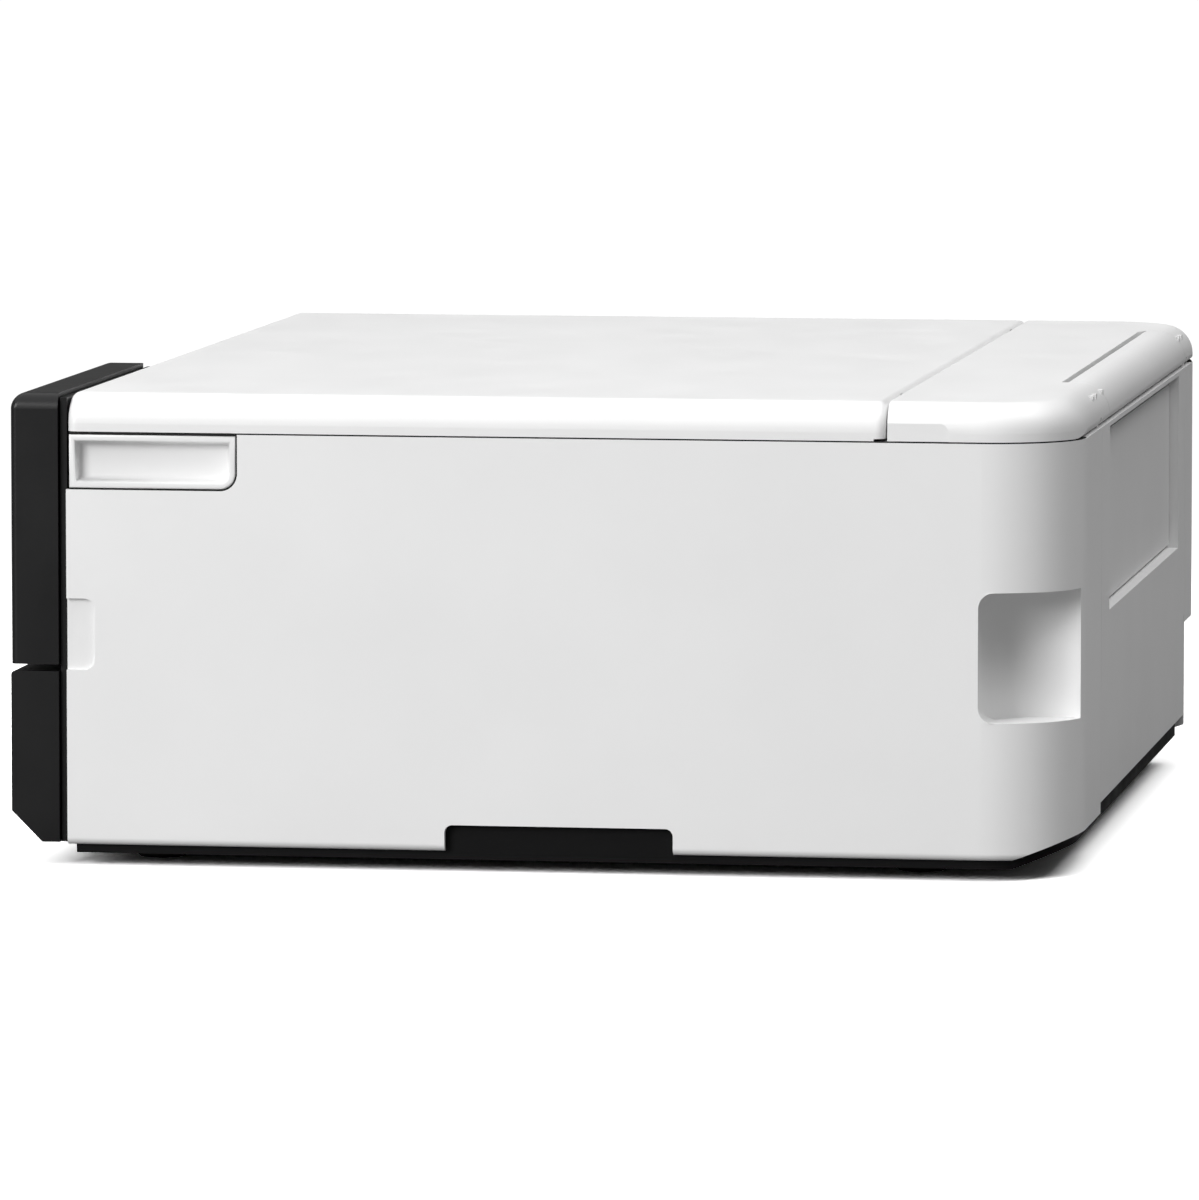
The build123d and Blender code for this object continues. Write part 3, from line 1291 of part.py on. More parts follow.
# Pickup arm, hanging from its pivot over the paper, and its roller
with BuildPart() as pickup_arm:
    arm_span = (pickup_opening_x[0] + 1.0, pickup_opening_x[1] - 1.0)
    arm_angle = degrees(atan2(pickup_roller_z - pickup_pivot_z, pickup_roller_y - pickup_pivot_y))
    arm_length = sqrt((pickup_roller_z - pickup_pivot_z) ** 2 + (pickup_roller_y - pickup_pivot_y) ** 2)
    for fork_x in (pickup_roller_x - pickup_roller_width / 2 - 3.0, pickup_roller_x + pickup_roller_width / 2 + 0.5):
        with BuildSketch(Plane.YZ.offset(fork_x)):
            with Locations(((pickup_pivot_y + pickup_roller_y) / 2, (pickup_pivot_z + pickup_roller_z) / 2)):
                SlotCenterToCenter(arm_length, 9.0, rotation=arm_angle)
        extrude(amount=2.5)
    round_bar(arm_span, pickup_pivot_y, pickup_pivot_z, 4.0)
    round_bar(
        (arm_span[0] - 1.0 - lug_thickness, arm_span[1] + 1.0 + lug_thickness),
        pickup_pivot_y,
        pickup_pivot_z,
        pickup_pin_r,
    )
    round_bar(
        (
            pickup_roller_x - pickup_roller_width / 2 - 1.5,
            pickup_roller_x + pickup_roller_width / 2 + 1.5,
        ),
        pickup_roller_y,
        pickup_roller_z,
        pickup_pin_r,
    )
save(pickup_arm, "pickup_arm")
with BuildPart() as pickup_roller:
    with BuildSketch(Plane.YZ.offset(pickup_roller_x - pickup_roller_width / 2)):
        with Locations((pickup_roller_y, pickup_roller_z)):
            Circle(pickup_roller_r)
            Circle(pickup_pin_r + pin_gap, mode=Mode.SUBTRACT)
            with PolarLocations(pickup_roller_r * 0.62, 6):
                Circle(2.0, mode=Mode.SUBTRACT)
    extrude(amount=pickup_roller_width)
save(pickup_roller, "pickup_roller")

# Inner paper guide that turns the sheet over from the tray to the feed roller
with BuildPart() as paper_guide:
    with BuildSketch(Plane.YZ.offset(guide_span_x[0])):
        with BuildLine():
            Polyline((guide_turn_y, deck_top_z), (guide_turn_y, guide_turn_z))
            guide_arc = RadiusArc(
                (guide_turn_y, guide_turn_z),
                (guide_turn_y - guide_turn_r, guide_turn_z + guide_turn_r),
                -guide_turn_r,
            )
            Polyline(
                (guide_turn_y - guide_turn_r, guide_turn_z + guide_turn_r),
                (feed_roller_y + 12.0, platen_top_z + 0.5),
                (feed_roller_y + 12.0, platen_top_z - 1.5),
                (guide_turn_y - guide_turn_r, guide_turn_z + guide_turn_r - 2.0),
            )
            RadiusArc(
                (guide_turn_y - guide_turn_r, guide_turn_z + guide_turn_r - 2.0),
                (guide_turn_y - 2.0, guide_turn_z),
                guide_turn_r - 2.0,
            )
            Polyline((guide_turn_y - 2.0, guide_turn_z), (guide_turn_y - 2.0, deck_top_z), (guide_turn_y, deck_top_z))
        make_face()
    extrude(amount=guide_span_x[1] - guide_span_x[0])
save(paper_guide, "paper_guide")

# Front of the paper tray: a full-width hollow shell with a sloping foot
with BuildPart() as tray_front:
    with BuildSketch(Plane.YZ.offset(-half_width)) as front_profile:
        span_rectangle((front_y, front_back_y), (tray_front_low_z, front_split_low_z))
        front_corners = front_profile.vertices().group_by(Axis.X)[0].sort_by(Axis.Y)
        chamfer(front_corners[0], tray_front_chamfer)
    extrude(amount=width)
    fillet(tray_front.edges().group_by(Axis.Y)[0].group_by(Axis.Z)[-1], 1.2)
    with BuildSketch(Plane.YZ.offset(-half_width + tray_front_wall)) as front_hollow:
        span_rectangle(
            (front_y + tray_front_wall, front_back_y + 1.0),
            (tray_front_low_z + tray_front_wall, front_split_low_z - tray_front_wall),
        )
        hollow_corners = front_hollow.vertices().group_by(Axis.X)[0].sort_by(Axis.Y)
        chamfer(hollow_corners[0], tray_front_chamfer - 1.2)
    extrude(amount=width - 2 * tray_front_wall, mode=Mode.SUBTRACT)
    # Finger recess under the middle of the front
    with BuildSketch(Plane.YZ.offset(paper_centre_x - finger_recess / 2)):
        Polygon(
            (front_back_y + 1.0, tray_front_low_z - 1.0),
            (front_back_y + 1.0, tray_front_low_z + 1.6),
            (front_y + tray_front_chamfer - 1.0, tray_front_low_z + 1.6),
            (front_y + tray_front_chamfer - 3.6, tray_front_low_z - 1.0),
            align=None,
        )
    extrude(amount=finger_recess, mode=Mode.SUBTRACT)
save(tray_front, "tray_front")

# Paper tray: floor, three walls and a low rear wall, open at the top
with BuildPart() as tray:
    span_box(tray_x, (front_back_y, tray_rear_y), (tray_low_z, tray_top_z))
    tray_inner_x = (tray_x[0] + tray_wall, tray_x[1] - tray_wall)
    tray_floor_z = tray_low_z + tray_floor
    span_box(
        tray_inner_x,
        (front_back_y + tray_wall, tray_rear_y - tray_wall),
        (tray_floor_z, tray_top_z + 1.0),
        mode=Mode.SUBTRACT,
    )
    span_box(
        tray_inner_x,
        (tray_rear_y - tray_wall - 1.0, tray_rear_y + 1.0),
        (tray_rear_top_z, tray_top_z + 1.0),
        mode=Mode.SUBTRACT,
    )
    # The side walls fall away towards the rear
    with BuildSketch(Plane.YZ.offset(tray_x[0] - 1.0)):
        Polygon(
            (tray_rear_y - 40.0, tray_top_z + 1.0),
            (tray_rear_y + 1.0, tray_rear_top_z + 6.0),
            (tray_rear_y + 1.0, tray_top_z + 1.0),
            align=None,
        )
    extrude(amount=tray_x[1] - tray_x[0] + 2.0, mode=Mode.SUBTRACT)
    # Post for the pinion between the two racks
    guide_low_z = tray_floor_z + guide_lift
    with BuildSketch(Plane.XY.offset(tray_floor_z - 0.5)):
        with Locations((paper_centre_x, guide_centre_y)):
            Circle(pinion_post_r)
    extrude(amount=guide_lift + rack_thickness + 1.2)
    # Ribs that keep the racks in line
    rack_line = pinion_teeth * module / 2 + tooth_root + rack_width + slide_gap
    for rib_y in (guide_centre_y + rack_line + 1.0, guide_centre_y - rack_line - 1.0):
        span_box(
            (paper_centre_x - rack_rib_half, paper_centre_x + rack_rib_half),
            (rib_y - 1.0, rib_y + 1.0),
            (tray_floor_z - 0.5, guide_low_z + 2.4),
        )
    # Ledges along the length guide's track
    for rail_x in (
        paper_centre_x - length_guide_width / 2 - slide_gap - 1.5,
        paper_centre_x + length_guide_width / 2 + slide_gap,
    ):
        span_box(
            (rail_x, rail_x + 1.5),
            (front_back_y + tray_wall - 0.5, guide_centre_y - rack_line - 6.0),
            (tray_floor_z - 0.5, guide_low_z + 1.8),
        )
save(tray, "paper_tray")

# Side guides: a fence with a foot and a toothed rack, the same piece turned half round
fence_x = paper_centre_x - paper_width / 2
pitch_line_y = guide_centre_y + pinion_teeth * module / 2
rack_middle = pitch_line_y + tooth_root
for turn, name in ((0.0, "guide_left"), (180.0, "guide_right")):
    with BuildPart() as guide:
        span_box(
            (fence_x - guide_thickness, fence_x),
            (guide_centre_y - guide_length / 2, guide_centre_y + guide_length / 2),
            (guide_low_z, guide_low_z + guide_height),
        )
        fence_top = guide.edges().filter_by(Axis.X).group_by(Axis.Z)[-1]
        fillet(fence_top, 6.0)
        span_box(
            (fence_x - guide_thickness, fence_x - guide_thickness + guide_foot),
            (guide_centre_y - guide_length / 2, guide_centre_y + guide_length / 2),
            (guide_low_z, guide_low_z + 1.2),
        )
        span_box(
            (fence_x - 1.0, paper_centre_x + rack_past_centre),
            (rack_middle, rack_middle + rack_width),
            (guide_low_z, guide_low_z + rack_thickness),
        )
        tooth_count = int((paper_width / 2 - 10.0) / tooth_pitch)
        lean = tan(radians(tooth_angle))
        foot_half = tooth_width / 2 + tooth_root * lean
        tip_half = tooth_width / 2 - tooth_addendum * lean
        tip_y = pitch_line_y - tooth_addendum
        with BuildSketch(Plane.XY.offset(guide_low_z)):
            for tooth in range(-tooth_count, 2):
                tooth_x = paper_centre_x + (tooth + 0.5) * tooth_pitch
                Polygon(
                    (tooth_x - foot_half, rack_middle + 0.4),
                    (tooth_x - foot_half, rack_middle),
                    (tooth_x - tip_half, tip_y),
                    (tooth_x + tip_half, tip_y),
                    (tooth_x + foot_half, rack_middle),
                    (tooth_x + foot_half, rack_middle + 0.4),
                    align=None,
                )
        extrude(amount=rack_thickness)
    half_turn = Axis((paper_centre_x, guide_centre_y, 0.0), (0.0, 0.0, 1.0))
    with BuildPart() as placed_guide:
        add(guide.part.rotate(half_turn, turn))
    save(placed_guide, name)
with BuildPart() as guide_pinion:
    with BuildSketch(Plane.XY.offset(guide_low_z)):
        with Locations((paper_centre_x, guide_centre_y)):
            gear_teeth(pinion_teeth, 0.0)
            Circle(pinion_post_r + pin_gap, mode=Mode.SUBTRACT)
    extrude(amount=rack_thickness)
save(guide_pinion, "guide_pinion")

# Length guide at the front of the tray
with BuildPart() as length_guide:
    length_guide_y = front_back_y + tray_wall + 3.0
    with BuildSketch(Plane.YZ.offset(paper_centre_x - length_guide_width / 2)) as length_profile:
        Polygon(
            (length_guide_y, guide_low_z),
            (length_guide_y, guide_low_z + length_guide_height),
            (length_guide_y + 2.5, guide_low_z + length_guide_height),
            (length_guide_y + 2.5, guide_low_z + 1.5),
            (length_guide_y + length_guide_foot, guide_low_z + 1.5),
            (length_guide_y + length_guide_foot, guide_low_z),
            align=None,
        )
    extrude(amount=length_guide_width)
    fillet(length_guide.edges().filter_by(Axis.Y).group_by(Axis.Z)[-1], 4.0)
save(length_guide, "length_guide")

# Sheet metal frame of the print carriage: side plates, rear beam and two tabs for the belt drive
with BuildPart() as carriage_frame:
    for plate_x in (-side_plate_x - sheet, side_plate_x):
        with BuildSketch(Plane.YZ.offset(plate_x)):
            span_rectangle((plate_front_y, beam_y + sheet), (plate_low_z, plate_top_z))
            span_rectangle((leg_front_y, leg_rear_y), (base_top_z, plate_low_z + 1.0))
            with Locations((shaft_y, shaft_z)):
                Circle(shaft_r + pin_gap, mode=Mode.SUBTRACT)
        extrude(amount=sheet)
    for side in (1, -1):
        foot = (side * (side_plate_x + 0.5), side * (side_plate_x - 14.0))
        span_box((min(foot), max(foot)), (leg_front_y + 10.0, leg_rear_y - 10.0), (base_top_z, base_top_z + sheet))
        tab = (side * (side_plate_x + 0.5), side * (side_plate_x - 28.0))
        span_box((min(tab), max(tab)), (tab_front_y, beam_y + 0.5), (tab_low_z, tab_low_z + sheet))
    span_box((-side_plate_x - 0.5, side_plate_x + 0.5), (beam_y, beam_y + sheet), (tab_low_z, plate_top_z))
    # Hole for the motor's shaft on the right, post for the pulley on the left
    with BuildSketch(Plane.XY.offset(tab_low_z - 1.0)):
        with Locations((pulley_x, pulley_y)):
            Circle(motor_boss_r + 0.5)
    extrude(amount=sheet + 2.0, mode=Mode.SUBTRACT)
    with BuildSketch(Plane.XY.offset(tab_low_z + sheet - 0.5)):
        with Locations((-pulley_x, pulley_y)):
            Circle(motor_shaft_r)
    extrude(amount=pulley_z[1] - tab_low_z - sheet + 1.0)
save(carriage_frame, "carriage_frame")

with BuildPart() as guide_shaft:
    round_bar((-side_plate_x - sheet - 1.5, side_plate_x + sheet + 1.5), shaft_y, shaft_z, shaft_r)
    chamfer(guide_shaft.edges().group_by(Axis.X)[0] + guide_shaft.edges().group_by(Axis.X)[-1], 0.6)
save(guide_shaft, "guide_shaft")

with BuildPart() as front_rail:
    with BuildSketch(Plane.YZ.offset(-side_plate_x)):
        span_rectangle(rail_y, (rail_top_z - sheet, rail_top_z))
        span_rectangle((rail_y[0], rail_y[0] + sheet), (rail_top_z - sheet, rail_top_z + 4.5))
    extrude(amount=2 * side_plate_x)
save(front_rail, "front_rail")

# Print carriage with its head, riding on the shaft and the rail
with BuildPart() as carriage:
    carriage_start = carriage_rest_x - carriage_width / 2
    with BuildSketch(Plane.YZ.offset(carriage_start)) as carriage_side:
        span_rectangle(carriage_y, (carriage_low_z, carriage_top_z))
        carriage_front_top = carriage_side.vertices().group_by(Axis.X)[0].sort_by(Axis.Y)[-1]
        chamfer(carriage_front_top, 8.0, 5.0)
    extrude(amount=carriage_width)
    with BuildSketch(Plane.XY.offset(carriage_low_z - 2.0)) as head_plan:
        span_rectangle(
            (carriage_rest_x - head_width / 2, carriage_rest_x + head_width / 2), (head_y[0], head_y[1])
        )
    extrude(amount=4.0)
    with BuildSketch(Plane.XY.offset(head_low_z)) as nozzle_plan:
        span_rectangle(
            (carriage_rest_x - head_width / 2 + 3.0, carriage_rest_x + head_width / 2 - 3.0),
            (head_y[0] + 3.0, head_y[1] - 3.0),
        )
    extrude(amount=carriage_low_z - head_low_z)
    span_box(
        (carriage_rest_x - 20.0, carriage_rest_x + 20.0),
        (rail_y[0] + sheet + 0.6, carriage_y[0] + 1.0),
        (rail_top_z + seat_gap, rail_top_z + 3.4),
    )
    # Clip on the belt
    span_box(
        (carriage_rest_x - 10.0, carriage_rest_x + 10.0),
        (carriage_y[1] - 0.5, pulley_y - belt_inner_r - belt_thickness - seat_gap),
        (belt_z[0] - 2.0, belt_z[1] + 2.0),
    )
    # Bore for the shaft
    round_bar(
        (carriage_start - 1.0, carriage_start + carriage_width + 1.0),
        shaft_y,
        shaft_z,
        shaft_r + pin_gap,
        mode=Mode.SUBTRACT,
    )
save(carriage, "print_carriage")

# Pulleys, belt and motor of the carriage drive
for side, name in ((1, "drive_pulley"), (-1, "idler_pulley")):
    with BuildPart() as pulley:
        for low, high, radius in (
            (pulley_z[0], pulley_z[1], pulley_r),
            (pulley_z[0], pulley_z[0] + 1.0, pulley_flange_r),
            (pulley_z[1] - 1.0, pulley_z[1], pulley_flange_r),
        ):
            with BuildSketch(Plane.XY.offset(low)):
                with Locations((side * pulley_x, pulley_y)):
                    Circle(radius)
            extrude(amount=high - low)
        with BuildSketch(Plane.XY.offset(pulley_z[0] - 1.0)):
            with Locations((side * pulley_x, pulley_y)):
                Circle(motor_shaft_r + pin_gap)
        extrude(amount=pulley_z[1] - pulley_z[0] + 2.0, mode=Mode.SUBTRACT)
    save(pulley, name)
with BuildPart() as belt:
    with BuildSketch(Plane.XY.offset(belt_z[0])):
        with Locations((0.0, pulley_y)):
            SlotCenterToCenter(2 * pulley_x, 2 * (belt_inner_r + belt_thickness))
            SlotCenterToCenter(2 * pulley_x, 2 * belt_inner_r, mode=Mode.SUBTRACT)
    extrude(amount=belt_z[1] - belt_z[0])
save(belt, "drive_belt")
with BuildPart() as carriage_motor:
    for low, high, radius in (
        (tab_low_z - carriage_motor_height, tab_low_z, carriage_motor_r),
        (tab_low_z - 1.0, tab_low_z + sheet + 0.5, motor_boss_r),
        (tab_low_z, pulley_z[1] + 1.0, motor_shaft_r),
    ):
        with BuildSketch(Plane.XY.offset(low)):
            with Locations((pulley_x, pulley_y)):
                Circle(radius)
        extrude(amount=high - low)
    fillet(carriage_motor.edges().group_by(Axis.Z)[0], 2.0)
save(carriage_motor, "carriage_motor")

# Ink cartridges side by side, and the holder with a bay for each
cartridge_edges = []
edge_x = cartridge_first_x
for cartridge_width in cartridge_widths:
    cartridge_edges.append((edge_x, edge_x + cartridge_width))
    edge_x += cartridge_width + 2 * slide_gap + cartridge_partition
holder_x = (
    cartridge_first_x - slide_gap - cartridge_partition,
    cartridge_edges[-1][1] + slide_gap + cartridge_partition,
)
with BuildPart() as holder:
    span_box(holder_x, holder_y, holder_z)
    for low_x, high_x in cartridge_edges:
        span_box(
            (low_x - slide_gap, high_x + slide_gap),
            (holder_y[0] - 1.0, holder_y[1] - cartridge_partition),
            (holder_z[0] + cartridge_partition, holder_z[1] - cartridge_partition),
            mode=Mode.SUBTRACT,
        )
        # Ink nozzle at the back of each bay
        span_box(
            ((low_x + high_x) / 2 - 2.0, (low_x + high_x) / 2 + 2.0),
            (holder_y[1] - cartridge_partition - 5.0, holder_y[1]),
            (holder_z[0] + 7.0, holder_z[0] + 11.0),
        )
    span_box(
        (chassis_x[1] - 2.0, chassis_x[1] + chassis_wall),
        holder_y,
        (deck_top_z, holder_z[0] + 0.5),
    )
    span_box((holder_x[1] - 3.0, holder_x[1]), holder_y, (base_top_z, holder_z[0] + 0.5))
save(holder, "cartridge_holder")
for name, first, last in (("ink_cartridge_black", 0, 1), ("ink_cartridges_colour", 1, len(cartridge_edges))):
    with BuildPart() as cartridges:
        for low_x, high_x in cartridge_edges[first:last]:
            cartridge_low_z = holder_z[0] + cartridge_partition + slide_gap
            cartridge_top_z = holder_z[1] - cartridge_partition - slide_gap
            with BuildSketch(Plane.YZ.offset(low_x)) as cartridge_side:
                Polygon(
                    (cartridge_y[0], cartridge_low_z),
                    (cartridge_y[0], cartridge_top_z),
                    (cartridge_y[1], cartridge_top_z),
                    (cartridge_y[1], cartridge_low_z),
                    align=None,
                )
                chamfer(cartridge_side.vertices().group_by(Axis.X)[-1].sort_by(Axis.Y)[-1], 4.0)
            extrude(amount=high_x - low_x)
        # Grip hollow in the front of each cartridge
        for low_x, high_x in cartridge_edges[first:last]:
            with BuildSketch(Plane.YZ.offset(low_x + 3.0)):
                with Locations((cartridge_y[0] - 2.0, cartridge_top_z - 14.0)):
                    Circle(7.0)
            extrude(amount=high_x - low_x - 6.0, mode=Mode.SUBTRACT)
    save(cartridges, name)

# Maintenance station: housing under the parked head with a cap and a wiper slot
with BuildPart() as station:
    span_box(station_x, station_y, (base_top_z, station_top_z))
    fillet(station.edges().filter_by(Axis.Z), 3.0)
    with BuildSketch(Plane.XY.offset(station_top_z - 6.0)):
        with Locations((carriage_rest_x, (head_y[0] + head_y[1]) / 2)):
            RectangleRounded(head_width + 2.0, head_y[1] - head_y[0], 3.0)
    extrude(amount=7.0, mode=Mode.SUBTRACT)
    with BuildSketch(Plane.XY.offset(station_top_z - 6.5)):
        with Locations((carriage_rest_x, (head_y[0] + head_y[1]) / 2)):
            RectangleRounded(head_width - 6.0, head_y[1] - head_y[0] - 8.0, 3.0)
            RectangleRounded(head_width - 10.0, head_y[1] - head_y[0] - 12.0, 2.0, mode=Mode.SUBTRACT)
    extrude(amount=7.0)
save(station, "maintenance_station")

# Waste ink box behind it, with its felt pad below the rim
with BuildPart() as waste_box:
    span_box(waste_x, waste_y, (base_top_z, waste_top_z))
    fillet(waste_box.edges().filter_by(Axis.Z), 4.0)
    span_box(
        (waste_x[0] + 2.0, waste_x[1] - 2.0),
        (waste_y[0] + 2.0, waste_y[1] - 2.0),
        (waste_top_z - 6.0, waste_top_z + 1.0),
        mode=Mode.SUBTRACT,
    )
save(waste_box, "waste_ink_box")

# Power supply box with vents, and the inlet in the rear pocket
with BuildPart() as supply:
    span_box(supply_x, supply_y, (base_top_z, supply_top_z))
    fillet(supply.edges().filter_by(Axis.Z) + supply.edges().group_by(Axis.Z)[-1], 2.0)
    with BuildSketch(Plane.XY.offset(supply_top_z - 2.0)):
        with Locations(((supply_x[0] + supply_x[1]) / 2, (supply_y[0] + supply_y[1]) / 2)):
            with GridLocations(1.0, 8.0, 1, 7):
                SlotOverall(30.0, 3.0)
    extrude(amount=3.0, mode=Mode.SUBTRACT)
save(supply, "power_supply")
with BuildPart() as inlet:
    with BuildSketch(Plane.XZ.offset(-inlet_pocket_y - 1.2)):
        with Locations((inlet_x, inlet_z)):
            RectangleRounded(inlet_size[0] + 2 * inlet_lip, inlet_size[1] + 2 * inlet_lip, 2.0)
    extrude(amount=1.2)
    with BuildSketch(Plane.XZ.offset(-inlet_pocket_y - 0.5)):
        with Locations((inlet_x, inlet_z)):
            RectangleRounded(inlet_size[0] - 2 * seat_gap, inlet_size[1] - 2 * seat_gap, 1.5)
    extrude(amount=inlet_depth + 0.5)
    with BuildSketch(Plane.XZ.offset(-inlet_pocket_y - 2.0)):
        with Locations((inlet_x, inlet_z)):
            RectangleRounded(inlet_size[0] - 5.0, inlet_size[1] - 5.0, 2.0)
    extrude(amount=inlet_depth, mode=Mode.SUBTRACT)
    with BuildSketch(Plane.XZ.offset(-inlet_pocket_y + inlet_depth - 1.0)):
        with Locations((inlet_x, inlet_z)):
            with GridLocations(7.0, 1.0, 2, 1):
                Circle(1.2)
    extrude(amount=-inlet_depth + 1.5)
save(inlet, "power_inlet")

# Main board on edge inside the left wall, with its larger parts and standoffs
with BuildPart() as board:
    board_x = -inner_x + board_standoff
    span_box((board_x, board_x + 1.6), board_y, board_z)
    for part_y, part_z, part_out in board_parts:
        span_box((board_x + 1.0, board_x + 1.6 + part_out), part_y, part_z)
    for standoff_y in (board_y[0] + 8.0, board_y[1] - 8.0):
        for standoff_z in (board_z[0] + 8.0, board_z[1] - 8.0):
            round_bar((-inner_x, board_x + 0.5), standoff_y, standoff_z, 3.0)
save(board, "main_board")
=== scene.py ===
# %% [markdown]
# # A compact inkjet multifunction printer
# The solids of this printer come from a CAD source and arrive already packed, each piece in its real
# place and in metres. This notebook dresses them: it gives every moulding the plastic that it is made
# of, adds the small parts that a solid model leaves out, and lights the printer like a product photo.

# %% Tools
import json
import math

import bmesh
import bpy
from mathutils import Matrix, Vector


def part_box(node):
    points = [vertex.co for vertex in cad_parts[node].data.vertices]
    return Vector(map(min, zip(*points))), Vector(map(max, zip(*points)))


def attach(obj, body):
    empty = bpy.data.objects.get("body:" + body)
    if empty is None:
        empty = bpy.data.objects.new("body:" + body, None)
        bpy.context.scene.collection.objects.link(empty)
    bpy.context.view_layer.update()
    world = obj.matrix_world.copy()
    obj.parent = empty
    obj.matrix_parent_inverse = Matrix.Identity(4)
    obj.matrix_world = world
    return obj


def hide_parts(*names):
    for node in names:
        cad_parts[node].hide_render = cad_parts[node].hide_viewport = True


# %% [markdown]
# ## The camera
# The photograph was taken from far away with a long lens, beside the printer's right end and a little
# above its top. A long lens keeps parallel edges almost parallel, which is why the side looks so flat.
# The camera is made first, so that everything after it can be judged through it.

# %% Camera
camera_data = bpy.data.cameras.new("photo_camera")
camera_data.lens = 303.5
camera_data.sensor_width = 36.0
camera_data.clip_start = 0.05
camera_data.clip_end = 50.0
photo_camera = bpy.data.objects.new("photo_camera", camera_data)
bpy.context.scene.collection.objects.link(photo_camera)
photo_camera.location = (3.3395, 0.5115, 0.3897)
aim = Vector((0.200, 0.0193, 0.0876))
photo_camera.rotation_mode = "QUATERNION"
photo_camera.rotation_quaternion = (aim - photo_camera.location).to_track_quat("-Z", "Y")
bpy.context.scene.camera = photo_camera
print("camera distance", round((aim - photo_camera.location).length, 3), "m")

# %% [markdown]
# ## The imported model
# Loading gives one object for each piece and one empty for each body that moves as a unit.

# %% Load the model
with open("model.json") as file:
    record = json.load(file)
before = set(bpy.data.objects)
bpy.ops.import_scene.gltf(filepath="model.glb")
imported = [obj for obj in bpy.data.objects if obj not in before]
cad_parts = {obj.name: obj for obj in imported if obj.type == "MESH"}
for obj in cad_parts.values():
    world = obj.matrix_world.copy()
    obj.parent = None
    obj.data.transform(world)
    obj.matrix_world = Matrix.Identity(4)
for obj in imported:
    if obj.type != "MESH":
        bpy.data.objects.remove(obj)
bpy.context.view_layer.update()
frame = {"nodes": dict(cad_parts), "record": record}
nodes = frame["nodes"]

# %% [markdown]
# ## Colour and material helpers
# Colours are written as the hex values a screen shows and turned to linear light by one function.
# Every material is a Principled shader with a few texture nodes in front of it. One small function
# adds a node, sets its values and links it.


# %% Colour and node helpers
def linear(hex_colour):
    """The linear colour, with alpha 1, of an sRGB hex string."""
    parts = [int(hex_colour[i : i + 2], 16) / 255 for i in (1, 3, 5)]
    return tuple(p / 12.92 if p <= 0.04045 else ((p + 0.055) / 1.055) ** 2.4 for p in parts) + (1.0,)


def add_node(material, kind, settings=(), values=(), links=()):
    """A new node with its settings, socket values and links from (socket, other node, its socket)."""
    made = material.node_tree.nodes.new(kind)
    for name, value in settings:
        setattr(made, name, value)
    for socket, value in values:
        made.inputs[socket].default_value = value
    for socket, source, output in links:
        material.node_tree.links.new(source.outputs[output], made.inputs[socket])
    return made


def new_material(name, colour, roughness, metallic=0.0, ior=None, coat=0.0, coat_roughness=0.1):
    """A Principled material and its shader node."""
    material = bpy.data.materials.new(name)
    material.use_nodes = True
    shader = material.node_tree.nodes["Principled BSDF"]
    shader.inputs["Base Color"].default_value = linear(colour)
    shader.inputs["Roughness"].default_value = roughness
    shader.inputs["Metallic"].default_value = metallic
    if ior:
        shader.inputs["IOR"].default_value = ior
    shader.inputs["Coat Weight"].default_value = coat
    shader.inputs["Coat Roughness"].default_value = coat_roughness
    return material, shader


def grain(material, shader, size_mm, depth, distance_mm, detail=2.0, voronoi=False):
    """Moulded or cast grain: a bump whose cells are size_mm wide. Returns its coordinates."""
    place = add_node(material, "ShaderNodeTexCoord")
    kind = "ShaderNodeTexVoronoi" if voronoi else "ShaderNodeTexNoise"
    values = [("Scale", 1000.0 / size_mm)]
    if not voronoi:
        values.append(("Detail", detail))
    pattern = add_node(material, kind, values=values, links=[("Vector", place, "Object")])
    bump = add_node(
        material,
        "ShaderNodeBump",
        values=[("Strength", depth), ("Distance", distance_mm / 1000)],
        links=[("Height", pattern, 0)],
    )
    material.node_tree.links.new(bump.outputs["Normal"], shader.inputs["Normal"])
    return place


def mottle(material, shader, place, size_mm, low, high, socket="Roughness"):
    """A soft variation between two values, or two colours, over patches size_mm wide."""
    patches = add_node(
        material,
        "ShaderNodeTexNoise",
        values=[("Scale", 1000.0 / size_mm), ("Detail", 3.0)],
        links=[("Vector", place, "Object")],
    )
    ramp = add_node(material, "ShaderNodeValToRGB", links=[("Fac", patches, "Fac")])
    ends = ramp.color_ramp.elements
    ends[0].position = 0.3
    ends[1].position = 0.7
    ends[0].color = linear(low) if isinstance(low, str) else (low, low, low, 1.0)
    ends[1].color = linear(high) if isinstance(high, str) else (high, high, high, 1.0)
    material.node_tree.links.new(ramp.outputs["Color"], shader.inputs[socket])


# %% [markdown]
# ## White casing plastic
# The casing, lid and covers are injection moulded from white styrene plastic in spark-eroded moulds.
# That leaves a very fine matt grain: it takes the mirror off the surface but leaves a wide soft sheen.
# Real grain is about 0.1 mm, too fine to show, so it is drawn at 0.5 mm and kept shallow.

# %% White casing plastic
casing_white, shader = new_material("white_styrene_spark_grain", "#E9E9E9", 0.42, ior=1.55)
place = grain(casing_white, shader, 0.5, 0.10, 0.05)
mottle(casing_white, shader, place, 60.0, "#E8E8E8", "#EBEBEB", "Base Color")
mottle(casing_white, shader, place, 25.0, 0.39, 0.46)

# %% [markdown]
# ## Black front plastic
# The front parts are black styrene, dyed through. The faces are satin; the edge shows a soft highlight
# in the photo, which comes from the sheen of a slightly rough gloss and not from paint.

# %% Black front plastics
front_black, shader = new_material("black_styrene_satin", "#0D0D0E", 0.3, ior=1.55)
shader.inputs["Specular IOR Level"].default_value = 0.26
place = grain(front_black, shader, 0.6, 0.12, 0.05)
mottle(front_black, shader, place, 30.0, 0.33, 0.42)

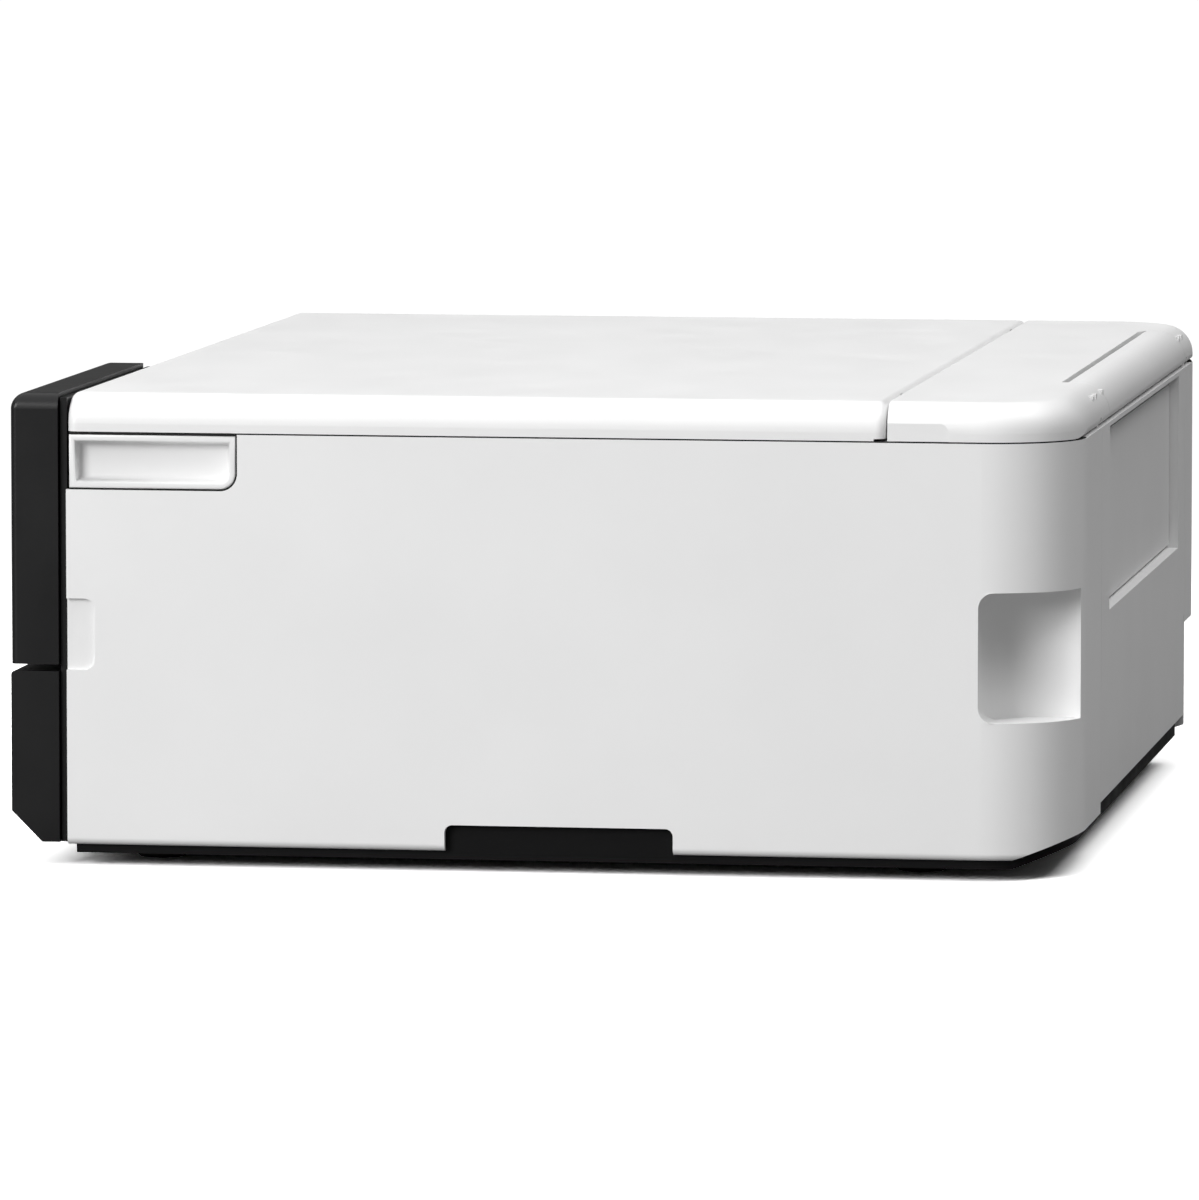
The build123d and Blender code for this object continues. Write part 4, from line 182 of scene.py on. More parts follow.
base_black, shader = new_material("black_styrene_coarse_grain", "#080809", 0.6, ior=1.55)
shader.inputs["Specular IOR Level"].default_value = 0.12
place = grain(base_black, shader, 0.9, 0.25, 0.1)
mottle(base_black, shader, place, 20.0, 0.52, 0.66)

panel_black, shader = new_material(
    "black_polished_panel", "#0F0F11", 0.22, ior=1.5, coat=0.25, coat_roughness=0.08
)
shader.inputs["Specular IOR Level"].default_value = 0.3
place = grain(panel_black, shader, 8.0, 0.03, 0.05)
mottle(panel_black, shader, place, 45.0, 0.16, 0.22)

# %% [markdown]
# ## Glass and display
# The scanner glass is a float glass plate, faintly green at its edges. The display is a dark pane with
# a smooth front; switched off, it is nearly black with one clean reflection.

# %% Glass and display
scanner_glass, shader = new_material("float_glass", "#DCE8E4", 0.02, ior=1.52)
shader.inputs["Transmission Weight"].default_value = 0.9
shader.inputs["Alpha"].default_value = 0.35
grain(scanner_glass, shader, 30.0, 0.01, 0.02)

display_pane, shader = new_material(
    "dark_display_pane", "#0B0D12", 0.06, ior=1.5, coat=1.0, coat_roughness=0.03
)
place = grain(display_pane, shader, 20.0, 0.01, 0.02)
mottle(display_pane, shader, place, 25.0, "#0A0C11", "#10131A", "Base Color")

# %% [markdown]
# ## Inside plastics
# Inside, mouldings are plain: dark grey filled plastic for the frames, milky acetal for the gears, which
# runs dry without oil, and soft white for the sheet that backs the document.

# %% Inside plastics
frame_grey, shader = new_material("grey_filled_plastic", "#4A4C4F", 0.55, ior=1.5)
place = grain(frame_grey, shader, 0.8, 0.2, 0.08)
mottle(frame_grey, shader, place, 18.0, "#46484B", "#505255", "Base Color")

gear_acetal, shader = new_material("milky_acetal", "#E4E2D8", 0.35, ior=1.48)
shader.inputs["Subsurface Weight"].default_value = 0.15
shader.inputs["Subsurface Scale"].default_value = 0.002
place = grain(gear_acetal, shader, 1.2, 0.08, 0.05)
mottle(gear_acetal, shader, place, 8.0, 0.3, 0.42)

backing_foam, shader = new_material("white_backing_sheet", "#F2F2F1", 0.75)
place = grain(backing_foam, shader, 1.6, 0.2, 0.1)
mottle(backing_foam, shader, place, 12.0, "#EFEFEE", "#F5F5F4", "Base Color")

key_grey, shader = new_material("grey_key_plastic", "#2C2D30", 0.4, ior=1.5)
place = grain(key_grey, shader, 0.5, 0.15, 0.05)
mottle(key_grey, shader, place, 5.0, 0.36, 0.46)

# %% [markdown]
# ## Rubber and steel
# Rubber is matt and slightly dusty. The shafts are ground steel with a fine, even surface. The frame is
# zinc-coated sheet with faint crystals, and the motor cans are drawn steel.

# %% Rubber and steel
soft_rubber, shader = new_material("black_rubber", "#1A1A1A", 0.8)
place = grain(soft_rubber, shader, 0.7, 0.3, 0.1)
mottle(soft_rubber, shader, place, 9.0, "#171717", "#232323", "Base Color")

ground_steel, shader = new_material("ground_steel", "#B9BBBF", 0.22, metallic=1.0)
place = grain(ground_steel, shader, 0.4, 0.06, 0.02)
mottle(ground_steel, shader, place, 6.0, 0.18, 0.3)

zinc_steel, shader = new_material("zinc_coated_sheet", "#A9ACB0", 0.38, metallic=1.0)
place = grain(zinc_steel, shader, 3.0, 0.05, 0.03, voronoi=True)
mottle(zinc_steel, shader, place, 4.0, "#A0A3A8", "#B6B8BC", "Base Color")

motor_case, shader = new_material("motor_can_steel", "#8E9196", 0.3, metallic=1.0)
place = grain(motor_case, shader, 0.6, 0.08, 0.03)
mottle(motor_case, shader, place, 7.0, 0.26, 0.38)

# %% [markdown]
# ## Cartridges, board and belt
# Cartridge shells are plain filled plastic, the black one darker than the colour ones. The board is
# coated with green solder resist, and the drive belt is bare rubber.

# %% Cartridge, board and belt
ink_black, shader = new_material("black_cartridge_shell", "#191A1C", 0.45, ior=1.5)
place = grain(ink_black, shader, 0.7, 0.15, 0.05)
mottle(ink_black, shader, place, 12.0, 0.4, 0.5)

ink_colour, shader = new_material("grey_cartridge_shell", "#33363B", 0.45, ior=1.5)
place = grain(ink_colour, shader, 0.7, 0.15, 0.05)
mottle(ink_colour, shader, place, 12.0, 0.4, 0.5)

solder_resist, shader = new_material("green_solder_resist", "#145A3A", 0.35, ior=1.5, coat=0.4)
place = grain(solder_resist, shader, 2.2, 0.25, 0.08, voronoi=True)
mottle(solder_resist, shader, place, 3.0, "#114F33", "#1A6B45", "Base Color")

belt_black, shader = new_material("belt_rubber", "#202020", 0.7)
grain(belt_black, shader, 0.6, 0.2, 0.08)

# %% [markdown]
# ## Dressing the pieces
# The record names a material slot for each piece. The table below says which finish each slot gets, so
# a new piece of the same plastic is dressed by its slot alone.

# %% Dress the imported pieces
finish_of_slot = {
    "white_plastic": casing_white,
    "black_plastic": front_black,
    "black_satin": panel_black,
    "display_glass": display_pane,
    "button_plastic": key_grey,
    "glass": scanner_glass,
    "backing_white": backing_foam,
    "rubber": soft_rubber,
    "grey_plastic": frame_grey,
    "steel": ground_steel,
    "motor_steel": motor_case,
    "gear_plastic": gear_acetal,
    "cartridge_black": ink_black,
    "cartridge_colour": ink_colour,
    "board_green": solder_resist,
    "belt_rubber": belt_black,
}
coarse_black_pieces = ("base_pan", "paper_tray", "output_tray", "power_inlet")
sheet_steel_pieces = ("carriage_frame", "front_rail")
slot_of = {entry["node"]: entry["material_slot"] for entry in frame["record"]["subparts"]}
for name, piece in nodes.items():
    finish = finish_of_slot[slot_of[name]]
    if name in coarse_black_pieces:
        finish = base_black
    if name in sheet_steel_pieces:
        finish = zinc_steel
    piece.data.materials.clear()
    piece.data.materials.append(finish)
print("dressed", len(nodes), "pieces")

# %% [markdown]
# ## Helpers for the small parts
# Small parts are made in place from bmesh operators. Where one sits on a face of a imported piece, a ray is
# dropped on that piece to find the face, so the part neither floats nor sinks. Sizes are in millimetres.


# %% Helpers for the small parts
MM = 0.001
bpy.context.view_layer.update()


def lay_on(node, start_mm, direction):
    """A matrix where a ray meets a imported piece, with its Z pointing out of the surface."""
    start = Vector(start_mm) * MM
    found, point, normal, _ = nodes[node].ray_cast(start, Vector(direction).normalized())
    if not found:
        raise RuntimeError("nothing of " + node + " lies under that ray")
    return Matrix.Translation(point) @ normal.to_track_quat("Z", "Y").to_matrix().to_4x4()


def shifted(place, across=0.0, up=0.0, out=0.0, turn=0.0):
    """The same place moved in its own axes, in millimetres, and turned in degrees about its Z."""
    step = Matrix.Translation(Vector((across, up, out)) * MM)
    return place @ step @ Matrix.Rotation(math.radians(turn), 4, "Z")


def round_edges(shape, edges, round_mm, segments, clamp=False):
    """Rounds edges to a radius in so many steps."""
    bmesh.ops.bevel(
        shape,
        geom=edges,
        offset=round_mm * MM,
        offset_type="OFFSET",
        segments=segments,
        profile=0.5,
        affect="EDGES",
        clamp_overlap=clamp,
        material=-1,
    )


def add_block(shape, place, size_mm, round_mm=0.0):
    """A block standing on the place, with all its edges rounded."""
    length, width, height = (value * MM for value in size_mm)
    stand = place @ Matrix.Translation((0, 0, height / 2)) @ Matrix.Diagonal((length, width, height, 1))
    corners = bmesh.ops.create_cube(shape, size=1.0, matrix=stand)["verts"]
    if round_mm:
        round_edges(shape, list({edge for corner in corners for edge in corner.link_edges}), round_mm, 3)


def add_rod(shape, place, radius_mm, height_mm, round_mm=0.0, sides=32):
    """A round or many-sided rod standing on the place, with the rims of its ends rounded."""
    stand = place @ Matrix.Translation((0, 0, height_mm * MM / 2))
    made = bmesh.ops.create_cone(
        shape,
        cap_ends=True,
        segments=sides,
        radius1=radius_mm * MM,
        radius2=radius_mm * MM,
        depth=height_mm * MM,
        matrix=stand,
    )["verts"]
    if round_mm:
        caps = {face for corner in made for face in corner.link_faces if len(face.verts) == sides}
        round_edges(shape, list({edge for face in caps for edge in face.edges}), round_mm, 2)


def add_ring(shape, place, outer_mm, inner_mm, height_mm, start=0.0, angle=360.0, steps=48):
    """A ring, or an arc of one, spun from its rectangular section."""
    section = [
        shape.verts.new(place @ Matrix.Rotation(math.radians(start), 4, "Z") @ (Vector(corner) * MM))
        for corner in (
            (inner_mm, 0, 0),
            (outer_mm, 0, 0),
            (outer_mm, 0, height_mm),
            (inner_mm, 0, height_mm),
        )
    ]
    around = (place.to_3x3() @ Vector((0, 0, 1))).normalized()
    if angle == 360.0:
        loop = [shape.edges.new((section[i], section[(i + 1) % 4])) for i in range(4)]
        geometry = section + loop
    else:
        geometry = [shape.faces.new(section)]
    bmesh.ops.spin(
        shape,
        geom=geometry,
        cent=place.translation,
        axis=around,
        angle=math.radians(angle),
        steps=steps,
        use_merge=angle == 360.0,
    )


def finish_piece(name, shape, finish, body, smooth=False):
    """Turns a bmesh into an object of one finish that rides on a body."""
    bmesh.ops.recalc_face_normals(shape, faces=shape.faces)
    for face in shape.faces:
        face.smooth = smooth
    mesh = bpy.data.meshes.new(name)
    shape.to_mesh(mesh)
    shape.free()
    mesh.materials.append(finish)
    piece = bpy.data.objects.new(name, mesh)
    bpy.context.scene.collection.objects.link(piece)
    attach(piece, body)
    print(name, "has", len(mesh.polygons), "faces")
    return piece


def middle_mm(node):
    """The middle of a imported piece's box, and the box itself, in millimetres."""
    low, high = (Vector(corner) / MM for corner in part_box(node))
    return (low + high) / 2, low, high


# %% [markdown]
# ## Finishes for the small parts
# The marks on the keys are screen printed: a matt, slightly raised ink. Status lights are clear lenses
# over a lamp. Contacts are gold-plated brass and screws are zinc plated. Each gets its own material.

# %% Finishes for the small parts
key_print, shader = new_material("screen_printed_white_ink", "#C9CCCE", 0.55)
grain(key_print, shader, 0.3, 0.1, 0.02)

lamp_lens, shader = new_material(
    "green_acrylic_lens", "#3FA56B", 0.12, ior=1.49, coat=0.5, coat_roughness=0.05
)
grain(lamp_lens, shader, 2.0, 0.03, 0.02)

gold_brass, shader = new_material("gold_plated_brass", "#D2AC5C", 0.25, metallic=1.0)
place = grain(gold_brass, shader, 0.5, 0.05, 0.02)
mottle(gold_brass, shader, place, 3.0, 0.2, 0.34)

screw_zinc, shader = new_material("zinc_plated_screw", "#9DA0A3", 0.33, metallic=1.0)
place = grain(screw_zinc, shader, 0.8, 0.08, 0.02)
mottle(screw_zinc, shader, place, 2.0, 0.28, 0.42)

ink_felt, shader = new_material("pressed_wool_felt", "#D9D7D0", 0.95)
place = grain(ink_felt, shader, 0.9, 0.6, 0.3, detail=5.0)
mottle(ink_felt, shader, place, 6.0, "#CFCDC6", "#E2E0DA", "Base Color")

chip_black, shader = new_material("black_epoxy_chip", "#202224", 0.5, ior=1.55)
place = grain(chip_black, shader, 0.4, 0.15, 0.03)
mottle(chip_black, shader, place, 4.0, 0.42, 0.55)

socket_white, shader = new_material("white_nylon_socket", "#E6E3DA", 0.5, ior=1.53)
grain(socket_white, shader, 0.6, 0.1, 0.03)

label_colours = (("black", "#26282B"), ("cyan", "#1593C2"), ("magenta", "#C03A79"), ("yellow", "#DDB72E"))
label_finish = {}
for label, hex_colour in label_colours:
    label_finish[label], shader = new_material("pressed_label_" + label, hex_colour, 0.38, coat=0.3)
    grain(label_finish[label], shader, 1.0, 0.04, 0.02)

# %% [markdown]
# ## Side grips of the scanner
# A fingertip lifts the scanner by a shallow cup at each end. The real cup has a slim rounded rim and
# steep, slightly drafted walls. One block is inset twice, the second time inwards, and its rim is
# rounded last, which is how such a cup would be drawn by hand.

# %% Scanner side grips
_, low, high = middle_mm("scanner_grips")
cup_rim = 2.0
cup_draft = 0.7
cup_depth = 4.4
cup_back = 1.1
floor_round = 1.2
rim_round = 0.55
grip_front, grip_rear = low.y, high.y
grip_low, grip_top = low.z, high.z + 0.6
corner_round = 5.0


def side_block(shape, side, outside, inside, front, rear, bottom, top, rounding):
    """A block at one end of the printer, its lower rear corner rounded. Returns its outer face."""
    size = Matrix.Diagonal(((outside - inside) * MM, (rear - front) * MM, (top - bottom) * MM, 1))
    centre = Vector((side * (outside + inside) / 2, (front + rear) / 2, (bottom + top) / 2)) * MM
    corners = bmesh.ops.create_cube(shape, size=1.0, matrix=Matrix.Translation(centre) @ size)["verts"]
    edges = {edge for corner in corners for edge in corner.link_edges}
    turned = [
        edge
        for edge in edges
        if all(abs(v.co.y - rear * MM) < 1e-6 and abs(v.co.z - bottom * MM) < 1e-6 for v in edge.verts)
    ]
    round_edges(shape, turned, rounding, 8)
    shape.normal_update()
    own = [face for face in shape.faces if abs(face.calc_center_median().x - side * outside * MM) < 1e-6]
    return own[0]


shape = bmesh.new()
for side in (1, -1):
    cup_inside = high.x - cup_depth - cup_back
    face = side_block(
        shape, side, high.x, cup_inside, grip_front, grip_rear, grip_low, grip_top, corner_round
    )
    outer_loop = list(face.edges)
    bmesh.ops.inset_region(shape, faces=[face], thickness=cup_rim * MM, use_even_offset=True)
    inner_loop = list(face.edges)
    bmesh.ops.inset_region(
        shape, faces=[face], thickness=cup_draft * MM, depth=-cup_depth * MM, use_even_offset=True
    )
    floor_loop = list(face.edges)
    for loop, rounding in ((floor_loop, floor_round), (inner_loop + outer_loop, rim_round)):
        round_edges(shape, loop, rounding, 4, clamp=True)
scanner_cups = finish_piece(
    "scanner_cups", shape, casing_white, "scanner_unit", smooth=True
)
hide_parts("scanner_grips")

# %% [markdown]
# ## Dark seams, painted shade
# Where two white mouldings meet, the photo shows a dark line, because the gap is deep and no light
# comes back out. A thin dark strip set a little way into each gap paints that shade into the model. The
# strip round a cup is hollowed like the cup itself, so it shows only at the cup's outline.

# %% Seam strips of painted shade
# Painted shade: this dark matt finish stands in for the shadow deep inside each seam gap, where the real
# printer has no dark part.
painted_seam_shade, shader = new_material("painted_gap_shade", "#1C1C1C", 0.95)
place = grain(painted_seam_shade, shader, 0.8, 0.4, 0.1)
mottle(painted_seam_shade, shader, place, 5.0, "#191919", "#242424", "Base Color")

strip_wall = 1.5
strip_deep = 5.0
strip_face = high.x - 0.5
strip_inside = high.x - 6.0
strip_shows = 0.8
strip_top = grip_top + 0.75
strip_rear = grip_rear + strip_shows
# Painted shade round each cup: a dark hollowed ring just inside the seam, seen only at the cup's outline.
shape = bmesh.new()
for side in (1, -1):
    face = side_block(
        shape,
        side,
        strip_face,
        strip_inside,
        grip_front,
        strip_rear,
        grip_low - strip_shows,
        strip_top,
        corner_round + strip_shows,
    )
    bmesh.ops.inset_region(shape, faces=[face], thickness=strip_wall * MM, use_even_offset=True)
    bmesh.ops.inset_region(shape, faces=[face], thickness=0.1 * MM, depth=-strip_deep * MM)
finish_piece("cup_seam_shade_strips", shape, painted_seam_shade, "scanner_unit")

_, _, casing_high = middle_mm("casing_right")
casing_corner = 30.0
strip_low = casing_high.z
strip_tall = 0.42
strip_out = 0.35
strip_wide = 1.4
corner_y = casing_high.y - casing_corner
# Painted shade under the lid: dark strips just inside the seam along each end and round each rear corner.
shape = bmesh.new()
for side in (1, -1):
    corner = Matrix.Translation(Vector((side * (casing_high.x - casing_corner), corner_y, strip_low)) * MM)
    ring_start = 0.0 if side > 0 else 90.0
    add_ring(
        shape,
        corner,
        casing_corner - strip_out,
        casing_corner - strip_out - strip_wide,
        strip_tall,
        start=ring_start,
        angle=90.0,
        steps=16,
    )
    strip_x = side * (casing_high.x - strip_out - strip_wide / 2)
    run = Matrix.Translation(Vector((strip_x, (strip_rear + corner_y) / 2, strip_low)) * MM)
    add_block(shape, run, (strip_wide, corner_y - strip_rear, strip_tall))
finish_piece("lid_seam_shade_strips", shape, painted_seam_shade, "printer_body")

_, rear_low, rear_high = middle_mm("rear_panel")
# Painted shade in the two upright rear seams: a dark strip just behind each gap.
shape = bmesh.new()
for seam_x, seam_bottom in ((rear_high.x + 0.35, rear_low.z + 3.0), (rear_low.x - 0.35, 52.0)):
    foot = Matrix.Translation(Vector((seam_x, rear_high.y - 1.3, seam_bottom)) * MM)
    add_block(shape, foot, (0.24, 1.8, rear_high.z - seam_bottom - 1.0))
finish_piece("rear_seam_shade_strips", shape, painted_seam_shade, "printer_body")

# %% [markdown]
# ## Corners of the hand grips
# The opening of each hand grip has round front corners. The solid's opening is square there, so a small
# web closes each corner: an arc is spun from one vertex, closed to a face with the corner, and extruded.

# %% Hand grip corners
grip_mouth_y = casing_high.y - 31.0
grip_mouth_round = 5.0
web_deep = 12.0
grip_mouth_z = {1: (50.3, 91.5), -1: (52.4, 91.5)}
shape = bmesh.new()
for side, ends in grip_mouth_z.items():
    for z, up in zip(ends, (1, -1)):
        outside = side * casing_high.x
        start = shape.verts.new(Vector((outside, grip_mouth_y, z + up * grip_mouth_round)) * MM)
        centre = Vector((outside, grip_mouth_y + grip_mouth_round, z + up * grip_mouth_round)) * MM
        bmesh.ops.spin(
            shape,
            geom=[start],
            cent=centre,
            axis=(1, 0, 0),
            angle=math.radians(90 * up),
            steps=8,
            use_merge=False,
        )
        shape.verts.ensure_lookup_table()
        arc = [start]
        while True:
            onward = [e.other_vert(arc[-1]) for e in arc[-1].link_edges if e.other_vert(arc[-1]) not in arc]
            if not onward:
                break
            arc.append(onward[0])
        corner = shape.verts.new(Vector((outside, grip_mouth_y, z)) * MM)
        web = shape.faces.new(arc + [corner])
        grown = bmesh.ops.extrude_face_region(shape, geom=[web])["geom"]
        moved = [part for part in grown if isinstance(part, bmesh.types.BMVert)]
        bmesh.ops.translate(shape, verts=moved, vec=Vector((-side * web_deep, 0, 0)) * MM)
finish_piece("hand_grip_corners", shape, casing_white, "printer_body")

# %% [markdown]
# ## Marks on the keys
# Each key carries a common symbol that needs no words: a broken ring with a bar for power, a house for
# the first menu, a square for stop and a triangle for start. They stand a hair above the key's crown.

# %% Key symbols
outward = Vector((0.0, -1.0, 0.178)).normalized()
print_height = 0.12


def on_key(node):
    """The place at the middle of a key's crown."""
    middle, _, _ = middle_mm(node)
    return lay_on(node, middle + outward * 20.0, -outward)


shape = bmesh.new()
place = on_key("power_button")
add_ring(shape, place, 2.6, 2.0, print_height, start=125.0, angle=290.0, steps=30)
add_block(shape, shifted(place, up=1.9), (0.6, 2.6, print_height))
finish_piece("power_symbol", shape, key_print, "power_key")

shape = bmesh.new()
place = on_key("home_button")
add_rod(shape, shifted(place, up=0.6), 2.9, print_height, sides=3)
add_block(shape, shifted(place, up=-1.6), (3.0, 2.2, print_height))
finish_piece("home_symbol", shape, key_print, "home_key")

shape = bmesh.new()
add_block(shape, on_key("stop_button"), (3.6, 3.6, print_height))
finish_piece("stop_symbol", shape, key_print, "stop_key")

shape = bmesh.new()
add_rod(shape, shifted(on_key("start_button"), across=-0.5, turn=-90.0), 2.8, print_height, sides=3)
finish_piece("start_symbol", shape, key_print, "start_key")

# %% [markdown]
# ## Display and status lights
# A switched-off display shows a faint line where the glass meets the printed border. Two small lenses
# beside the start key light when the printer is ready or needs paper.

# %% Display border and lenses
middle, low, high = middle_mm("display")
place = lay_on("display", middle + outward * 20.0, -outward)
border_size = (high.x - low.x - 6.0, 21.5)
border_wide = 0.5
shape = bmesh.new()
for side in (-1, 1):
    edge_up = shifted(place, up=side * border_size[1] / 2)
    add_block(shape, edge_up, (border_size[0] + border_wide, border_wide, 0.06))
    edge_along = shifted(place, across=side * border_size[0] / 2)
    add_block(shape, edge_along, (border_wide, border_size[1] - border_wide, 0.06))
finish_piece("display_border", shape, key_grey, "operating_panel")

start_middle, _, _ = middle_mm("start_button")
shape = bmesh.new()
for up in (-3.0, 3.0):
    beside = start_middle + Vector((14.0, 0.0, up))
    lens_place = lay_on("control_panel", beside + outward * 20.0, -outward)
    add_rod(shape, shifted(lens_place, out=-0.3), 1.1, 0.7, round_mm=0.25, sides=24)
finish_piece("status_lenses", shape, lamp_lens, "operating_panel", smooth=True)

# %% [markdown]
# ## Cartridge labels
# Under the ink door, a bare coloured label tells which cartridge goes where. It is pressed into the
# front of each shell, above the hollow that a fingertip pulls on, and has nothing printed on it.

# %% Cartridge labels
_, low, high = middle_mm("ink_cartridges_colour")
pitch = (high.x - low.x) / 3
black_middle, _, _ = middle_mm("ink_cartridge_black")
label_x = {"black": black_middle.x}
for step, label in enumerate(("cyan", "magenta", "yellow")):
    label_x[label] = low.x + (step + 0.5) * pitch
for label, x in label_x.items():
    node = "ink_cartridge_black" if label == "black" else "ink_cartridges_colour"
    place = lay_on(node, (x, low.y - 20.0, low.z + 9.0), (0, 1, 0))
    shape = bmesh.new()
    add_block(shape, shifted(place, out=-0.2), (24.0 if label == "black" else 14.0, 11.0, 0.5), 0.2)
    finish_piece("label_" + label, shape, label_finish[label], "printer_body")

# %% [markdown]
# ## Rubber on the rollers
# A paper roller is a steel shaft with short rubber sleeves pushed over it. The rubber grips; the bare
# steel between the sleeves lets the paper slide into place. The sleeves hide the shaft's own bands.

# %% Roller sleeves
_, platen_low, platen_high = middle_mm("platen")
sleeve_count = 6
sleeve_pitch = (platen_high.x - platen_low.x) / sleeve_count
sleeve_half = 15.0
sleeve_past = 0.2
sleeve_over = 0.15
sleeve_under = 0.6
sideways = Matrix.Rotation(math.radians(90), 4, "Y")
for node, body in (("feed_roller", "feed_shaft"), ("exit_roller", "exit_shaft")):
    roller_middle, _, _ = middle_mm(node)
    shape = bmesh.new()
    for step in range(sleeve_count):
        x = platen_low.x + (step + 0.5) * sleeve_pitch
        top = lay_on(node, (x, roller_middle.y, roller_middle.z + 30.0), (0, 0, -1)).translation
        band_radius = top.z / MM - roller_middle.z
        sleeve_start = x - sleeve_half - sleeve_past
        start = Matrix.Translation(Vector((sleeve_start, roller_middle.y, roller_middle.z)) * MM)
        add_ring(
            shape,
            start @ sideways,
            band_radius + sleeve_over,
            band_radius - sleeve_under,
            2 * (sleeve_half + sleeve_past),
            steps=36,
        )
    finish_piece(node + "_sleeves", shape, soft_rubber, body)

# %% [markdown]
# ## Under the glass
# The sensor looks up through a line of tiny glass rods, seen from above as one pale strip. A matt white
# strip at the glass's left end is what the scanner takes its white from before each pass.

# %% Scan strip and white reference
_, low, high = middle_mm("scan_bar")
bar_x = (low.x + high.x) / 2
place = lay_on("scan_bar", (bar_x, (low.y + high.y) / 2, high.z + 5.0), (0, 0, -1))
shape = bmesh.new()
add_block(shape, place, (2.2, high.y - low.y - 20.0, 0.5), 0.15)
finish_piece("rod_lens_strip", shape, socket_white, "scan_head")

_, low, high = middle_mm("scanner_glass")
shape = bmesh.new()
reference_place = Matrix.Translation(Vector((low.x + 4.0, (low.y + high.y) / 2, low.z - 0.12)) * MM)
add_block(shape, reference_place, (6.0, high.y - low.y - 8.0, 0.1))
finish_piece("white_reference", shape, backing_foam, "scanner_unit")

# %% [markdown]
# ## Felt in the waste ink box
# Ink from cleaning the nozzles runs into the waste box, where a block of pressed wool felt soaks it up.

# %% Waste felt
_, low, high = middle_mm("waste_ink_box")
place = lay_on("waste_ink_box", ((low.x + high.x) / 2, (low.y + high.y) / 2, high.z + 5.0), (0, 0, -1))
shape = bmesh.new()
add_block(shape, place, (high.x - low.x - 5.0, high.y - low.y - 5.0, 4.0), 1.0)
finish_piece("waste_felt", shape, ink_felt, "printer_body")

# %% [markdown]
# ## On the main board
# Chips, capacitors and sockets stand on the board. They are soldered, so each sits flat on it, and the
# gold pins in the white sockets are what the flat cables push on to.

# %% Chips, capacitors and sockets
_, low, high = middle_mm("main_board")
face_x = high.x + 10.0


def on_board(share_y, share_z):
    """A place on the board, as shares of its length and height."""
    y = low.y + share_y * (high.y - low.y)
    z = low.z + share_z * (high.z - low.z)
    return lay_on("main_board", (face_x, y, z), (-1, 0, 0))


shape = bmesh.new()
for share_y, share_z in ((0.3, 0.45), (0.34, 0.45), (0.38, 0.45), (0.64, 0.3), (0.69, 0.3)):
    add_rod(shape, on_board(share_y, share_z), 2.6, 4.4, round_mm=0.3, sides=28)
finish_piece("board_capacitors", shape, motor_case, "printer_body")

shape = bmesh.new()
for share_y, share_z in ((0.5, 0.61), (0.74, 0.64)):
    add_block(shape, on_board(share_y, share_z), (10.0, 12.0, 0.8), 0.1)
finish_piece("board_chips", shape, chip_black, "printer_body")

sockets = bmesh.new()
pins = bmesh.new()
for share_y, share_z in ((0.1, 0.6), (0.62, 0.86), (0.9, 0.8)):
    place = on_board(share_y, share_z)
    add_block(sockets, place, (3.4, 16.0, 3.2), 0.3)
    for step in range(6):
        add_block(pins, shifted(place, up=-6.0 + step * 2.4, out=3.0), (0.5, 0.5, 0.9))
finish_piece("board_sockets", sockets, socket_white, "printer_body")
finish_piece("board_pins", pins, gold_brass, "printer_body")

# %% [markdown]
# ## Screws under the base
# The base pan is held to the casing from below by self-tapping screws with cross recesses. Each recess is
# painted shade: a thin dark cross laid on the head.

# %% Base screws
_, low, high = middle_mm("base_pan")
heads = bmesh.new()
# Painted shade: each cross recess is a flat dark cross standing on the head, where the recess's shadow
# would be.
cross_shade = bmesh.new()
for x in (low.x + 14.0, 0.0, high.x - 14.0):
    for y in (low.y + 40.0, high.y - 45.0):
        place = lay_on("base_pan", (x, y, low.z - 20.0), (0, 0, 1))
        add_rod(heads, place, 3.2, 1.2, round_mm=0.5, sides=32)
        for turn in (0.0, 90.0):
            add_block(cross_shade, shifted(place, out=1.15, turn=turn), (3.4, 0.8, 0.1))
finish_piece("base_screws", heads, screw_zinc, "printer_body")
finish_piece("screw_recess_shade", cross_shade, soft_rubber, "printer_body")

# %% [markdown]
# ## Marks in the tray
# Short raised lines on the tray's floor show where the guides go for the common paper sizes.

# %% Tray marks
_, low, high = middle_mm("paper_tray")
shape = bmesh.new()
for step in range(4):
    x = low.x + 18.0 + step * 9.0
    place = lay_on("paper_tray", (x, high.y - 45.0, high.z + 20.0), (0, 0, -1))
    add_block(shape, place, (0.8, 9.0 - step, 0.25), 0.1)
finish_piece("tray_marks", shape, frame_grey, "tray_drawer")

# %% [markdown]
# ## The floor
# The photo's ground is pure white, with a soft dark band close under the casing. The paper is white when
# seen straight, but gives back little light, so the casing's lower edge stays shaded. Away from the
# printer it turns into a lit backdrop, and from below it is clear, so that the base can be looked at.

# %% Floor
floor_mesh = bpy.data.meshes.new("studio_floor")
shape = bmesh.new()
bmesh.ops.create_grid(shape, x_segments=1, y_segments=1, size=12.0)
shape.to_mesh(floor_mesh)
shape.free()
studio_floor = bpy.data.objects.new("studio_floor", floor_mesh)
bpy.context.scene.collection.objects.link(studio_floor)

